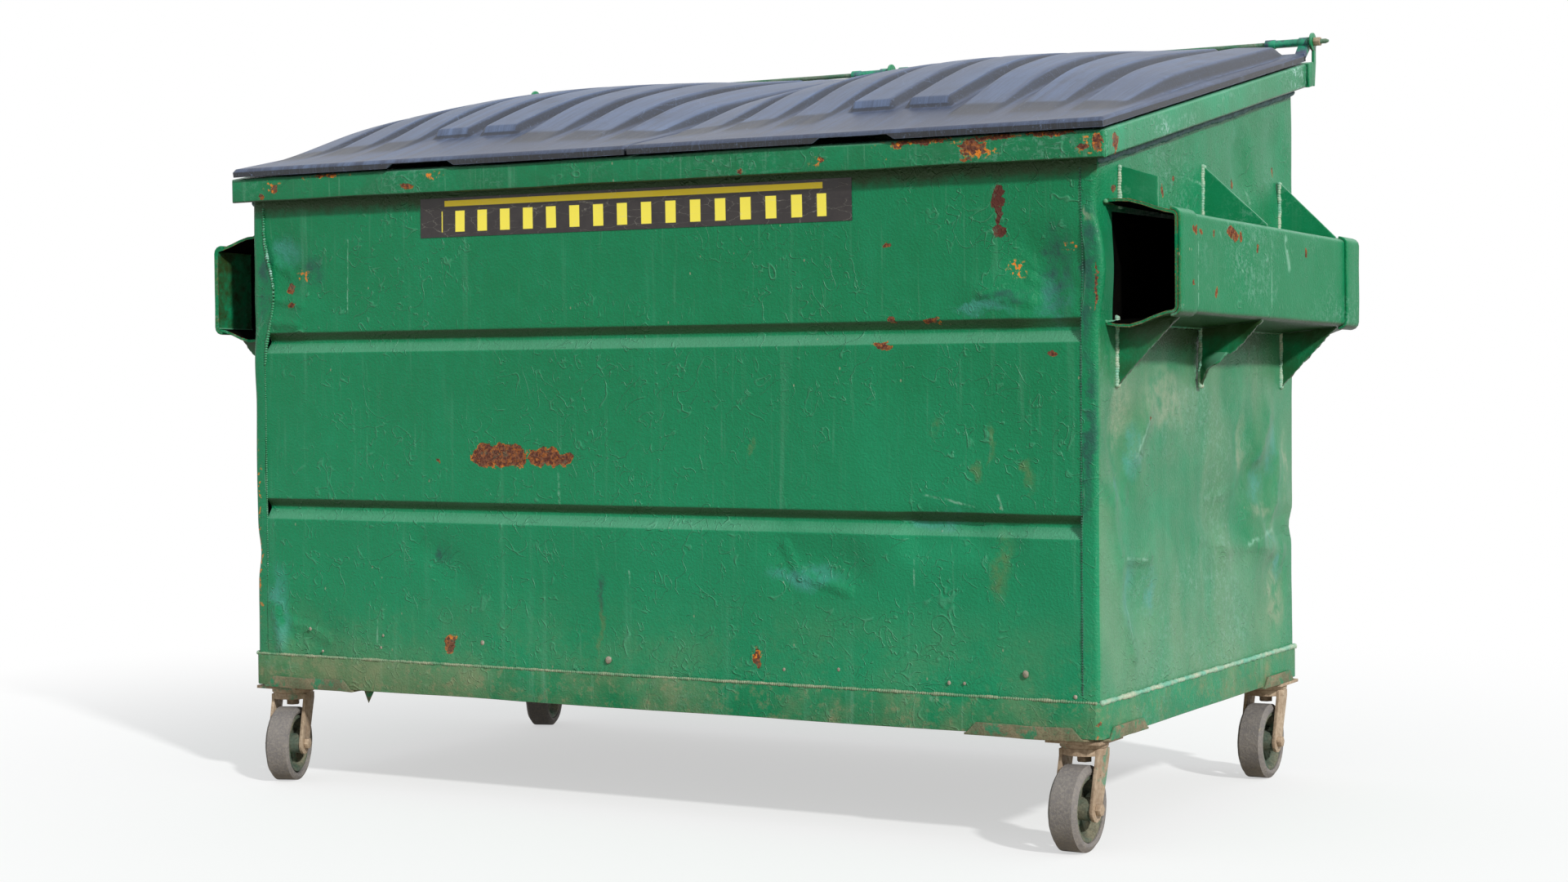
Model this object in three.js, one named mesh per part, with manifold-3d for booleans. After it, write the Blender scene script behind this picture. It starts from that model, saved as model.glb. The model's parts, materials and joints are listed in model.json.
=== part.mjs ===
// Slant-top steel waste container on four swivel casters, with two ribbed plastic lids on a
// common rear rod and a fork pocket on each side. Millimetres, +Z up, the front faces -Y.
import * as THREE from 'three';
import { mergeVertices } from 'three/addons/utils/BufferGeometryUtils.js';
import Module from 'manifold-3d';

const wasm = await Module();
wasm.setup();

// Driving dimensions of the container
const bodyWidth = 1829;
const bodyDepth = 1010;
const rimTopFront = 1209.5;
const lidSlope = THREE.MathUtils.degToRad(11.5);

// Sheet thicknesses and fits
const wallSheet = 3;
const panSheet = 4;
const rimSheet = 4;
const pocketPlate = 5;
const pocketGap = 0.45;
const gussetPlate = 5;
const seam = 0.3;
const overrun = 2;
const bendRadius = 6;
const bendSteps = 3;
const cornerRadius = 10;

// Floor pan and the pads under its corners
const panSkirt = 62;
const panCorner = 10;
const padPlate = 4;
const padWidth = 247;
const padLength = 200;
const padFlange = 22;
const padChamfer = 22;
const padCornerCut = 34;

// Pressed grooves of the front and rear walls
const grooveDepth = 16;
const grooveUpper = 19;
const grooveLower = 23;
const grooveShares = [0.349, 0.677];
const cornerReturn = 30;

// Rim channel round the top
const rimHeight = 47.5;
const rimReach = 30;
const rimChamfer = 7;
const rearRimStep = 5;

// Fork pockets
const pocketReach = 123;
const pocketOuterLow = 907;
const pocketOuterHeight = 158;
const pocketWallDrop = 14;
const pocketWallRise = 21;
const pocketFrontInset = 35;
const pocketRearOverhang = 8;
const pocketDroop = THREE.MathUtils.degToRad(0.7);
const bandWidth = 78;
const bandPlate = 5;
const bandReturn = 14;

// Gussets above and below the pockets
const upperGussetRise = 101;
const frontGussetRise = 69;
const lowerGussetDrop = 114;
const gussetRimGap = 12;
const upperGussetShares = [0.094, 0.49, 0.915];
const lowerGussetShares = [0.08, 0.475, 0.92];
const clippedReach = 70;
const clippedDrop = 22;
const gussetTip = 3;

// Lid rod and its lugs
const rodRadius = 4.8;
const rodRise = 40.5;
const rodFit = 0.4;
const rodOverhang = 33;
const rodTaper = 6;
const lugPlate = 5;
const lugHead = 18;
const lugStem = 14;
const lugFoot = 7;
const lugDrop = 88;
const nutAcrossFlats = 16;
const nutLength = 14;
const rodSides = 16;

// Lids
const lidSideInset = 9.5;
const lidOverhang = 15;
const lidGap = 6;
const lidSlide = 7;
const lidLift = 5;
const lidSetback = 36;
const lidSheet = 5;
const lidLip = 16;
const lidCrown = 46;
const crownAlongPower = 1.5;
const crownAcrossPower = 2.2;
const ribCount = 8;
const ribMargin = 6;
const ribValley = 28;
const ribFlank = 14.5;
const ribHeight = 24;
const bluntRibs = [3, 4];
const ribRowShares = [0, 0.06, 0.13, 0.205, 0.22, 0.27, 0.33, 0.4, 0.5, 0.62, 0.75, 0.88, 0.96, 1];
const taperStartShare = 0.06;
const taperEndShare = 0.4;
const bluntStartShare = 0.205;
const bluntEndShare = 0.22;
const ribFadeShare = 0.88;
const ribEndShare = 0.96;
const notchTop = 132;
const notchFoot = 160;
const notchHeight = 9;

// Hinge ears and barrels moulded on the rear corners of each lid
const outerEarInset = 2;
const innerEarInset = 10;
const earWidth = 20;
const earRadius = 10;
const earArm = 11;
const barrelLength = 70;
const barrelRadius = 8;
const collarRadius = 9.5;
const collarLength = 20;

// Casters
const wheelRadius = 73.5;
const tyreClearance = 3;
const casterInset = 42;
const frontRightInset = 52;
const frontCasterSetback = 57;
const rearCasterSetback = 50;
const frontLeftYaw = THREE.MathUtils.degToRad(20);
const rearLeftYaw = THREE.MathUtils.degToRad(18);
const casterTrail = 30;
const casterPlate = 6;
const casterPlateWidth = 100;
const casterPlateLength = 104;
const racewayRadius = 42;
const racewayHeight = 10;
const racewayLip = 2;
const crownHeight = 12;
const crownRadius = 39;
const kingpinRadius = 10;
const kingpinWasher = 15;
const washerHeight = 4;
const kingpinNut = 23;
const kingpinNutHeight = 9;
const legSpacing = 60;
const legPlate = 6;
const legTop = 50;
const legBottom = 44;
const legHoleRadius = 2.5;
const legHoleRise = 55;
const axleRadius = 6.4;
const axleNut = 19;
const axleNutHeight = 9;
const tyreWidth = 50;
const treadWidth = 38.6;
const tyreShoulder = 7;
const tyreThickness = 16.5;
const coreWidth = 44;
const coreLip = 6;
const hubRadius = 20;
const hubSlack = 1;
const spokeCount = 5;
const spokeWidth = 20;
const spokeThickness = 12;
const roundSides = 32;
const smallSides = 12;
const pinSides = 24;

// Colours
const paint = { color: 0x1f7f51, roughness: 0.45, metalness: 0.1 };
const plastic = { color: 0x565c6a, roughness: 0.62, metalness: 0 };
const bareSteel = { color: 0x7d6a54, roughness: 0.7, metalness: 0.6 };
const castIron = { color: 0x5d7a66, roughness: 0.75, metalness: 0.4 };
const rubber = { color: 0x4a4748, roughness: 0.85, metalness: 0 };

// Places worked out from the sizes above
const halfWidth = bodyWidth / 2;
const slopeRise = Math.tan(lidSlope);
const crownStack = crownHeight + washerHeight + kingpinNutHeight;
const casterHeight = 2 * wheelRadius + tyreClearance + crownStack + racewayHeight + casterPlate;
const tyreSeat = wheelRadius - tyreThickness;
const panUnderside = casterHeight + padPlate;
const panFloorTop = panUnderside + panSheet;
const wallFoot = panFloorTop + seam;
const panOut = seam + panSheet;
const rimOut = halfWidth + rimReach;
const rimFrontY = -rimReach;
const rimRearY = bodyDepth + rimReach;
const rodY = rimRearY;
const lidWidth = rimOut - lidSideInset - lidGap / 2;
const lidLength = (rimRearY - rimFrontY) / Math.cos(lidSlope) - lidSetback + lidOverhang;
const ribPitch = (lidWidth - 2 * ribMargin) / ribCount;
const ribFoot = ribPitch - ribValley;
const ribTop = ribFoot - 2 * ribFlank;
const rodZ = rimTopFront + slopeRise * (rimRearY - rimFrontY) + rodRise;
const lugCentre = rimOut + rearRimStep - lugPlate / 2;
const lipLevel = (lidLift - rodRise) * Math.cos(lidSlope);
const pocketOuterTop = pocketOuterLow + pocketOuterHeight;
const pocketWallLow = pocketOuterLow - pocketWallDrop;
const pocketWallTop = pocketOuterTop + pocketWallRise;
const lowerGussetLow = pocketWallLow - lowerGussetDrop;
const pocketFront = pocketFrontInset;
const pocketRear = bodyDepth + pocketRearOverhang;
const bandEdge = pocketReach + pocketPlate + seam - bandReturn;

// The origin lies under the middle of the overall box, from the foremost tread or lid to the lugs
const lidFrontY = rodY - (lidSetback + lidLength) * Math.cos(lidSlope)
  - (lipLevel + lidLip) * Math.sin(lidSlope);
const treadFrontY = (yaw) => frontCasterSetback - (casterTrail + wheelRadius) * Math.cos(yaw)
  - (treadWidth / 2) * Math.sin(yaw);
const frontmostY = Math.min(lidFrontY, treadFrontY(0), treadFrontY(frontLeftYaw));
const frontWallY = -(frontmostY + rodY + lugHead) / 2;

// Height of the slanted rim plane over a place on the Y axis
const rimPlane = (y) => rimTopFront + slopeRise * (y - rimFrontY);

// Top of a gusset that rises over a pocket, kept under the rim
const gussetTop = (rise, y) => Math.min(pocketWallTop + rise, rimPlane(y) - rimHeight - gussetRimGap);

// Heights of the outside of a pocket's top and bottom plates, a given reach off the side wall
const pocketSpan = pocketReach + pocketPlate - pocketGap;
const pocketOver = (reach) => pocketWallTop + pocketPlate
  - ((pocketWallTop - pocketOuterTop) * (reach - pocketGap)) / pocketSpan;
const pocketUnder = (reach) => pocketWallLow - pocketPlate
  + ((pocketOuterLow - pocketWallLow) * (reach - pocketGap)) / pocketSpan;

// Turns a closed geometry into a solid for joining and cutting
function solid(geometry) {
  const bare = geometry.clone();
  bare.deleteAttribute('normal');
  bare.deleteAttribute('uv');
  const merged = mergeVertices(bare);
  return new wasm.Manifold(new wasm.Mesh({
    numProp: 3,
    vertProperties: new Float32Array(merged.attributes.position.array),
    triVerts: new Uint32Array(merged.index.array),
  }));
}

// Turns a joined or cut solid back into a geometry with flat facets
function shell(body) {
  const mesh = body.getMesh();
  const geometry = new THREE.BufferGeometry();
  geometry.setAttribute('position', new THREE.BufferAttribute(new Float32Array(mesh.vertProperties), 3));
  geometry.setIndex(new THREE.BufferAttribute(new Uint32Array(mesh.triVerts), 1));
  geometry.computeVertexNormals();
  return geometry;
}

const join = (...parts) => parts.map(solid).reduce((whole, part) => whole.add(part));
const cut = (body, ...tools) => tools.map(solid).reduce((whole, tool) => whole.subtract(tool), body);

// Extrudes an outline of [x, y] points, with optional holes, along +Z from a start height
function alongZ(outline, start, length, holes = []) {
  const shape = new THREE.Shape(outline.map(([x, y]) => new THREE.Vector2(x, y)));
  shape.holes = holes.map((hole) => new THREE.Path(hole.map(([x, y]) => new THREE.Vector2(x, y))));
  const geometry = new THREE.ExtrudeGeometry(shape, { depth: length, bevelEnabled: false });
  return geometry.translate(0, 0, start);
}

// Extrudes an outline of [y, z] points along +X
function alongX(outline, start, length, holes = []) {
  const toX = new THREE.Matrix4().makeBasis(
    new THREE.Vector3(0, 1, 0), new THREE.Vector3(0, 0, 1), new THREE.Vector3(1, 0, 0));
  return alongZ(outline, start, length, holes).applyMatrix4(toX);
}

// Extrudes an outline of [x, z] points along +Y
function alongY(outline, start, length, holes = []) {
  const swap = (points) => points.map(([x, z]) => [z, x]);
  const toY = new THREE.Matrix4().makeBasis(
    new THREE.Vector3(0, 0, 1), new THREE.Vector3(1, 0, 0), new THREE.Vector3(0, 1, 0));
  return alongZ(swap(outline), start, length, holes.map(swap)).applyMatrix4(toY);
}

// Points of a circle, or of a hexagon with its flats a given distance apart
const ring = (radius, sides, [a, b] = [0, 0]) => Array.from({ length: sides }, (_, i) => {
  const angle = (i / sides) * 2 * Math.PI;
  return [a + radius * Math.cos(angle), b + radius * Math.sin(angle)];
});
const hexagon = (acrossFlats) => ring(acrossFlats / Math.sqrt(3), 6);
const rectangle = (x0, y0, x1, y1) => [[x0, y0], [x1, y0], [x1, y1], [x0, y1]];

// Rounds the inner corners of an open line of points, as a press brake does
function bent(points, radius) {
  const line = [points[0]];
  for (let i = 1; i < points.length - 1; i += 1) {
    const corner = new THREE.Vector2(...points[i]);
    const before = new THREE.Vector2(...points[i - 1]).sub(corner).normalize();
    const after = new THREE.Vector2(...points[i + 1]).sub(corner).normalize();
    const half = Math.acos(THREE.MathUtils.clamp(before.dot(after), -1, 1)) / 2;
    const centre = before.clone().add(after).setLength(radius / Math.sin(half)).add(corner);
    const first = before.multiplyScalar(radius / Math.tan(half)).add(corner).sub(centre);
    const last = after.multiplyScalar(radius / Math.tan(half)).add(corner).sub(centre);
    const turn = Math.atan2(first.x * last.y - first.y * last.x, first.dot(last));
    for (let step = 0; step <= bendSteps; step += 1) {
      const point = first.clone().rotateAround(new THREE.Vector2(), (turn * step) / bendSteps).add(centre);
      line.push([point.x, point.y]);
    }
  }
  return [...line, points[points.length - 1]];
}

// Closes a line of points into the section of a sheet, thickened to the left of the line
function sheet(points, thickness) {
  const offset = points.map((point, i) => {
    const here = new THREE.Vector2(...point);
    const previous = new THREE.Vector2(...points[Math.max(i - 1, 0)]);
    const next = new THREE.Vector2(...points[Math.min(i + 1, points.length - 1)]);
    const into = (i > 0 ? here.clone().sub(previous) : next.clone().sub(here)).normalize();
    const out = (i < points.length - 1 ? next.clone().sub(here) : into.clone()).normalize();
    const normal = new THREE.Vector2(-into.y - out.y, into.x + out.x).normalize();
    const scale = thickness / (-into.y * normal.x + into.x * normal.y);
    return [here.x + normal.x * scale, here.y + normal.y * scale];
  });
  return [...points, ...offset.reverse()];
}

// Shears level work so that it rises along +Y, and keeps its height at one place on that axis
function riseAlongY(geometry, rise, fixedY) {
  const shear = new THREE.Matrix4().set(
    1, 0, 0, 0,
    0, 1, 0, 0,
    0, rise, 1, -rise * fixedY,
    0, 0, 0, 1);
  return geometry.applyMatrix4(shear);
}

// Lays work in the slanted plane of the rim, or along the slight fall of the fork pockets
const slant = (geometry) => riseAlongY(geometry, slopeRise, rimFrontY);
const droop = (geometry) => riseAlongY(geometry, -Math.tan(pocketDroop), bodyDepth / 2);

const root = new THREE.Group();

// Adds one named piece to the assembly, at a place and turn of its own
function place(name, geometry, finish, parent = root) {
  const mesh = new THREE.Mesh(geometry, new THREE.MeshStandardMaterial(finish));
  mesh.name = name;
  parent.add(mesh);
  return mesh;
}

// Everything above the slanted underside of the rim's top flange, to trim the walls with
function trimmer() {
  const low = -rimReach;
  const high = rimRearY;
  const under = (y) => rimPlane(y) - rimSheet - seam;
  const above = rimPlane(high) + rimHeight;
  const outline = [[low, under(low)], [high, under(high)], [high, above], [low, above]];
  return alongX(outline, -rimOut, 2 * rimOut);
}

// Folded tray that carries the four walls inside its skirt
function floorPan() {
  const outlineAt = (out, corner) => [
    [-halfWidth - out, corner - out], [corner - halfWidth - out, -out],
    [halfWidth + out - corner, -out], [halfWidth + out, corner - out],
    [halfWidth + out, bodyDepth + out - corner], [halfWidth + out - corner, bodyDepth + out],
    [corner - halfWidth - out, bodyDepth + out], [-halfWidth - out, bodyDepth + out - corner],
  ];
  const outer = alongZ(outlineAt(panOut, panCorner), panUnderside, panSkirt);
  const inner = alongZ(outlineAt(seam, panCorner - panSheet), panFloorTop, panSkirt);
  place('floor_pan', shell(cut(solid(outer), inner)), paint);
}

// Front or rear sheet with its two pressed grooves, between the returns of the side walls
function endWall(name, face, inward) {
  const line = [[face, wallFoot]];
  for (const share of grooveShares) {
    const middle = THREE.MathUtils.lerp(wallFoot, rimTopFront, share);
    line.push([face, middle - grooveLower], [face + inward * grooveDepth, middle], [face, middle + grooveUpper]);
  }
  line.push([face, rimPlane(face + inward * wallSheet)]);
  const half = halfWidth - cornerReturn - seam;
  const blank = alongX(sheet(bent(line, bendRadius), -inward * wallSheet), -half, 2 * half);
  place(name, shell(cut(solid(blank), trimmer())), paint);
}

// Side sheet with a return folded round each corner, its top cut to the slope of the lids
function sideWall(name, side) {
  const line = [
    [side * (halfWidth - cornerReturn), 0], [side * halfWidth, 0],
    [side * halfWidth, bodyDepth], [side * (halfWidth - cornerReturn), bodyDepth],
  ];
  const section = sheet(bent(line, cornerRadius), side * wallSheet);
  const blank = alongZ(section, wallFoot, rimPlane(bodyDepth) - wallFoot);
  place(name, shell(cut(solid(blank), trimmer())), paint);
}

// Outside line of the rim channel over a wall face, from its lower flange to its upper one
const rimLine = (face, outward) => [
  [face + outward * seam, rimTopFront - rimHeight], [face + outward * rimReach, rimTopFront - rimHeight],
  [face + outward * rimReach, rimTopFront], [face - outward * wallSheet, rimTopFront],
];
const rimSection = (face, outward) => sheet(bent(rimLine(face, outward), bendRadius), outward * rimSheet);

// Rim channels, mitred and chamfered at the front corners and butted against the rear one
function rims() {
  const inner = halfWidth - wallSheet;
  const depth = rimHeight + 2 * overrun;
  const start = rimTopFront - rimHeight - overrun;
  const nip = rimChamfer / 2;
  const frontPlan = [
    [rimChamfer - rimOut, rimFrontY], [rimOut - rimChamfer, rimFrontY],
    [rimOut - nip - seam, rimFrontY + nip], [inner - seam, wallSheet],
    [seam - inner, wallSheet], [nip + seam - rimOut, rimFrontY + nip],
  ];
  const front = solid(alongX(rimSection(0, -1), -rimOut, 2 * rimOut));
  const frontRim = front.intersect(solid(alongZ(frontPlan, start, depth)));
  place('front_rim', slant(shell(frontRim)), paint);

  const sideEnd = bodyDepth - wallSheet - seam;
  for (const [name, side] of [['left_rim', -1], ['right_rim', 1]]) {
    const plan = [
      [side * rimOut, rimFrontY + rimChamfer], [side * (rimOut - nip), rimFrontY + nip + seam],
      [side * inner, wallSheet + seam], [side * inner, sideEnd], [side * rimOut, sideEnd],
    ];
    const bar = solid(alongY(rimSection(side * halfWidth, side), rimFrontY, sideEnd - rimFrontY));
    place(name, slant(shell(bar.intersect(solid(alongZ(plan, start, depth))))), paint);
  }

  const rearHalf = rimOut + rearRimStep;
  const mouth = bodyDepth - wallSheet - overrun;
  const hollow = alongX(bent([
    [mouth, rimTopFront - rimHeight + rimSheet], [rimRearY - rimSheet, rimTopFront - rimHeight + rimSheet],
    [rimRearY - rimSheet, rimTopFront - rimSheet], [mouth, rimTopFront - rimSheet],
  ], bendRadius - rimSheet), rimSheet - rearHalf, 2 * (rearHalf - rimSheet));
  const bar = solid(alongX(bent(rimLine(bodyDepth, 1), bendRadius), -rearHalf, 2 * rearHalf));
  place('rear_rim', slant(shell(cut(bar, hollow))), paint);
}

// Fork pocket: a folded channel that stands off the side wall, open at both ends
function forkPocket(name, side) {
  const x = (reach) => side * (halfWidth + reach);
  const line = (grow) => [
    [x(pocketGap), pocketWallLow - grow], [x(pocketReach + grow), pocketOuterLow - grow],
    [x(pocketReach + grow), pocketOuterTop + grow], [x(pocketGap), pocketWallTop + grow],
  ];
  const outside = bent(line(pocketPlate), bendRadius + pocketPlate);
  const section = [...outside, ...bent(line(0), bendRadius).reverse()];
  place(name, droop(alongY(section, pocketFront, pocketRear - pocketFront)), paint);
}

// Wear band folded over the outside of a pocket at one end
function pocketBand(name, side, start) {
  const x = (reach) => side * (halfWidth + reach);
  const outer = bandEdge + bandReturn;
  const line = [
    [x(bandEdge), pocketUnder(bandEdge) - seam], [x(outer), pocketUnder(outer) - seam],
    [x(outer), pocketOver(outer) + seam], [x(bandEdge), pocketOver(bandEdge) + seam],
  ];
  const section = sheet(bent(line, bendRadius + pocketPlate + seam), -side * bandPlate);
  place(name, droop(alongY(section, start, bandWidth)), paint);
}

// Outline of a triangular gusset between the side wall and a pocket plate
function gussetOutline(side, wallEdge, plateAt, tip) {
  const toward = Math.sign(wallEdge - plateAt(seam));
  const x = (reach) => side * (halfWidth + reach);
  const z = (reach) => plateAt(reach) + toward * seam;
  return [
    [x(seam), z(seam)], [x(tip), z(tip)], [x(tip), z(tip) + toward * gussetTip], [x(seam), wallEdge],
  ];
}

// Front gusset of the right pocket, cropped short under the rim
function clippedOutline(side, top) {
  const x = (reach) => side * (halfWidth + reach);
  const z = (reach) => pocketOver(reach) + seam;
  return [
    [x(seam), z(seam)], [x(clippedReach), z(clippedReach)],
    [x(clippedReach), top - clippedDrop], [x(seam), top],
  ];
}

// Three gussets over a pocket and three under it, those at the ends kept clear of the bands
function gussets(prefix, side) {
  const ends = ['front', 'middle', 'rear'];
  ends.forEach((end, i) => {
    const clipped = side > 0 && i === 0;
    const tip = i === 1 ? pocketReach : bandEdge - seam;
    const upperY = upperGussetShares[i] * bodyDepth;
    const lowerY = lowerGussetShares[i] * bodyDepth;
    const top = gussetTop(i === 0 ? frontGussetRise : upperGussetRise, upperY);
    const upper = clipped ? clippedOutline(side, top) : gussetOutline(side, top, pocketOver, tip);
    const lower = gussetOutline(side, lowerGussetLow, pocketUnder, tip);
    place(`${prefix}_upper_gusset_${end}`, droop(alongY(upper, upperY, gussetPlate)), paint);
    place(`${prefix}_lower_gusset_${end}`, droop(alongY(lower, lowerY, gussetPlate)), paint);
  });
}

// Corner pad under the pan, with a flange turned up outside each skirt
function cornerPad(name, side, end) {
  const flip = (points) => points.map(([x, y]) => [side * x, end < 0 ? y : bodyDepth - y]);
  const out = panOut + seam + padPlate;
  const edgeX = halfWidth + out;
  const inX = halfWidth - padWidth;
  const plate = alongZ(flip([
    [inX, -out], [edgeX - padCornerCut, -out], [edgeX, padCornerCut - out],
    [edgeX, padLength], [inX, padLength],
  ]), casterHeight, padPlate - seam);
  const flange = (from, to) => [
    [from, casterHeight], [to, casterHeight],
    [to - padChamfer, casterHeight + padFlange], [from + padChamfer, casterHeight + padFlange],
  ];
  const frontFlange = flange(inX, edgeX - padCornerCut).map(([x, z]) => [side * x, z]);
  const sideFlange = flange(padCornerCut - out, padLength)
    .map(([y, z]) => [end < 0 ? y : bodyDepth - y, z]);
  const frontStart = end < 0 ? -out : bodyDepth + out - padPlate;
  const sideStart = side > 0 ? edgeX - padPlate : -edgeX;
  place(name, shell(join(plate, alongY(frontFlange, frontStart, padPlate),
    alongX(sideFlange, sideStart, padPlate))), paint);
}

// Upright lug welded to the back of the rear rim, with an eye for the lid rod
function hingeLug(name, x) {
  const front = seam;
  const shoulder = Math.asin(front / lugHead);
  const rear = Math.asin(lugStem / lugHead);
  const outline = [];
  const steps = rodSides;
  for (let i = 0; i <= steps; i += 1) {
    const angle = rear - Math.PI / 2 + ((2 * Math.PI - rear + shoulder) * i) / steps;
    outline.push([rodY + lugHead * Math.cos(angle), rodZ + lugHead * Math.sin(angle)]);
  }
  outline.push([rodY + front, rodZ - lugDrop], [rodY + lugFoot, rodZ - lugDrop], [rodY + lugStem, rodZ - rodRise]);
  const eye = ring(rodRadius + seam, rodSides, [rodY, rodZ]);
  place(name, alongX(outline, x - lugPlate / 2, lugPlate, [eye]), paint);
}

// Rod through all the lugs and lid barrels, tapered at both ends
function lidRod() {
  const end = lugCentre + rodOverhang;
  const profile = [
    [0, -end], [rodRadius / 2, -end], [rodRadius, rodTaper - end],
    [rodRadius, end - rodTaper], [rodRadius / 2, end], [0, end],
  ].map(([r, x]) => new THREE.Vector2(r, x));
  const rod = new THREE.LatheGeometry(profile, rodSides).rotateZ(-Math.PI / 2);
  place('lid_rod', rod, bareSteel).position.set(0, rodY, rodZ);
}

function rodNut(name, side) {
  const face = lugCentre + lugPlate / 2 + seam;
  const start = side > 0 ? face : -face - nutLength;
  const nut = alongX(hexagon(nutAcrossFlats), start, nutLength, [ring(rodRadius + seam, rodSides)]);
  place(name, nut, paint).position.set(0, rodY, rodZ);
}

const smooth = (from, to, value) => THREE.MathUtils.smoothstep(value, from, to);

// Height of a lid's top face over its lip, at a share of its length and a distance off its middle
function lidHeight(along, across) {
  const reach = Math.min(Math.abs((2 * across) / lidWidth), 1);
  const crown = lidCrown * Math.sin(Math.PI * along) ** crownAlongPower * (1 - reach ** crownAcrossPower);
  const place8 = across / ribPitch + ribCount / 2;
  const index = THREE.MathUtils.clamp(Math.floor(place8), 0, ribCount - 1);
  const offset = Math.abs(place8 - index - 1 / 2) * ribPitch;
  const section = 1 - THREE.MathUtils.clamp((2 * offset - ribTop) / (ribFoot - ribTop), 0, 1);
  const rise = bluntRibs.includes(index)
    ? THREE.MathUtils.clamp((along - bluntStartShare) / (bluntEndShare - bluntStartShare), 0, 1)
    : smooth(taperStartShare, taperEndShare, along);
  const fall = 1 - smooth(ribFadeShare, ribEndShare, along);
  return lidLip + crown + ribHeight * section * rise * fall;
}

// Moulded lid as one closed skin: ribbed top, lip all round, and the hollow underside
function lidSkin() {
  const columns = [-lidWidth / 2];
  for (let i = 0; i < ribCount; i += 1) {
    const middle = (i + 1 / 2 - ribCount / 2) * ribPitch;
    columns.push(middle - ribFoot / 2, middle - ribTop / 2, middle + ribTop / 2, middle + ribFoot / 2);
  }
  columns.push(lidWidth / 2);
  const rows = ribRowShares;
  const positions = [];
  const index = [];
  const lastColumn = columns.length - 1;
  const lastRow = rows.length - 1;
  const grid = (height, inset) => {
    const start = positions.length / 3;
    const limitX = lidWidth / 2 - inset;
    for (const share of rows) {
      const y = THREE.MathUtils.clamp((1 - share) * -lidLength, inset - lidLength, -inset);
      for (const x of columns) {
        positions.push(THREE.MathUtils.clamp(x, -limitX, limitX), y - lidSetback, height(share, x));
      }
    }
    return (row, column) => start + row * columns.length + column;
  };
  const top = grid((share, x) => lidHeight(share, x), 0);
  const under = grid((share, x) => lidHeight(share, x) - lidSheet, lidSheet);
  const outerEdge = grid(() => 0, 0);
  const innerEdge = grid(() => 0, lidSheet);
  const quad = (a, b, c, d) => index.push(a, b, c, a, c, d);
  for (let r = 0; r < lastRow; r += 1) {
    for (let c = 0; c < lastColumn; c += 1) {
      quad(top(r, c), top(r, c + 1), top(r + 1, c + 1), top(r + 1, c));
      quad(under(r, c), under(r + 1, c), under(r + 1, c + 1), under(r, c + 1));
    }
  }
  const border = [];
  for (let c = 0; c < lastColumn; c += 1) border.push([0, c]);
  for (let r = 0; r < lastRow; r += 1) border.push([r, lastColumn]);
  for (let c = lastColumn; c > 0; c -= 1) border.push([lastRow, c]);
  for (let r = lastRow; r > 0; r -= 1) border.push([r, 0]);
  border.forEach((here, i) => {
    const next = border[(i + 1) % border.length];
    quad(outerEdge(...here), outerEdge(...next), top(...next), top(...here));
    quad(innerEdge(...here), innerEdge(...next), outerEdge(...next), outerEdge(...here));
    quad(under(...here), under(...next), innerEdge(...next), innerEdge(...here));
  });
  const geometry = new THREE.BufferGeometry();
  geometry.setAttribute('position', new THREE.Float32BufferAttribute(positions, 3));
  geometry.setIndex(index);
  return geometry;
}

// Ear and barrel at one end of a lid's rear edge, round the rod at the lid's own origin
function hingeEar(hand, inset) {
  const outerFace = hand * (lidWidth / 2 - inset);
  const start = hand > 0 ? outerFace - earWidth : outerFace;
  const arm = [
    [earRadius * Math.cos(lidSlope), -earRadius / 2], [0, -earRadius - earArm / 2],
    [-lidSetback, lipLevel + overrun], [-lidSetback - earArm, lipLevel + overrun],
    [-lidSetback - earArm, lipLevel + lidLip - overrun], [-lidSetback, lipLevel + lidLip - overrun],
    [-earRadius * Math.cos(lidSlope), -earRadius / 2],
  ];
  const barrelEnd = outerFace - hand * (earWidth + barrelLength);
  const barrelStart = Math.min(barrelEnd, barrelEnd + hand * (barrelLength + overrun));
  const collarStart = Math.min(barrelEnd, barrelEnd + hand * collarLength);
  return [
    alongX(ring(earRadius, rodSides), start, earWidth),
    alongX(arm, start, earWidth),
    alongX(ring(barrelRadius, rodSides), barrelStart, barrelLength + overrun),
    alongX(ring(collarRadius, rodSides), collarStart, collarLength),
  ];
}

// Lid in its own frame: the rod is its origin, and its plane lies level
function lid(name, side) {
  const skin = solid(lidSkin().translate(0, 0, lipLevel));
  const ears = [...hingeEar(side, outerEarInset), ...hingeEar(-side, innerEarInset)];
  const frontY = -lidSetback - lidLength;
  const notch = alongY([
    [-notchFoot / 2, lipLevel - overrun], [notchFoot / 2, lipLevel - overrun],
    [notchTop / 2, lipLevel + notchHeight], [-notchTop / 2, lipLevel + notchHeight],
  ], frontY - overrun, lidSheet + 2 * overrun);
  const bore = alongX(ring(rodRadius + rodFit, rodSides), -lidWidth, 2 * lidWidth);
  const body = cut(skin.add(join(...ears)), notch, bore);
  const mesh = place(name, shell(body), plastic);
  mesh.position.set(side * ((lidWidth + lidGap) / 2) + lidSlide, rodY, rodZ);
  mesh.rotation.x = lidSlope;
}

// Turned parts are revolved round +Z
const turned = (points, sides) => new THREE.LatheGeometry(
  points.map(([r, z]) => new THREE.Vector2(r, z)), sides).rotateX(Math.PI / 2);

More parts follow.
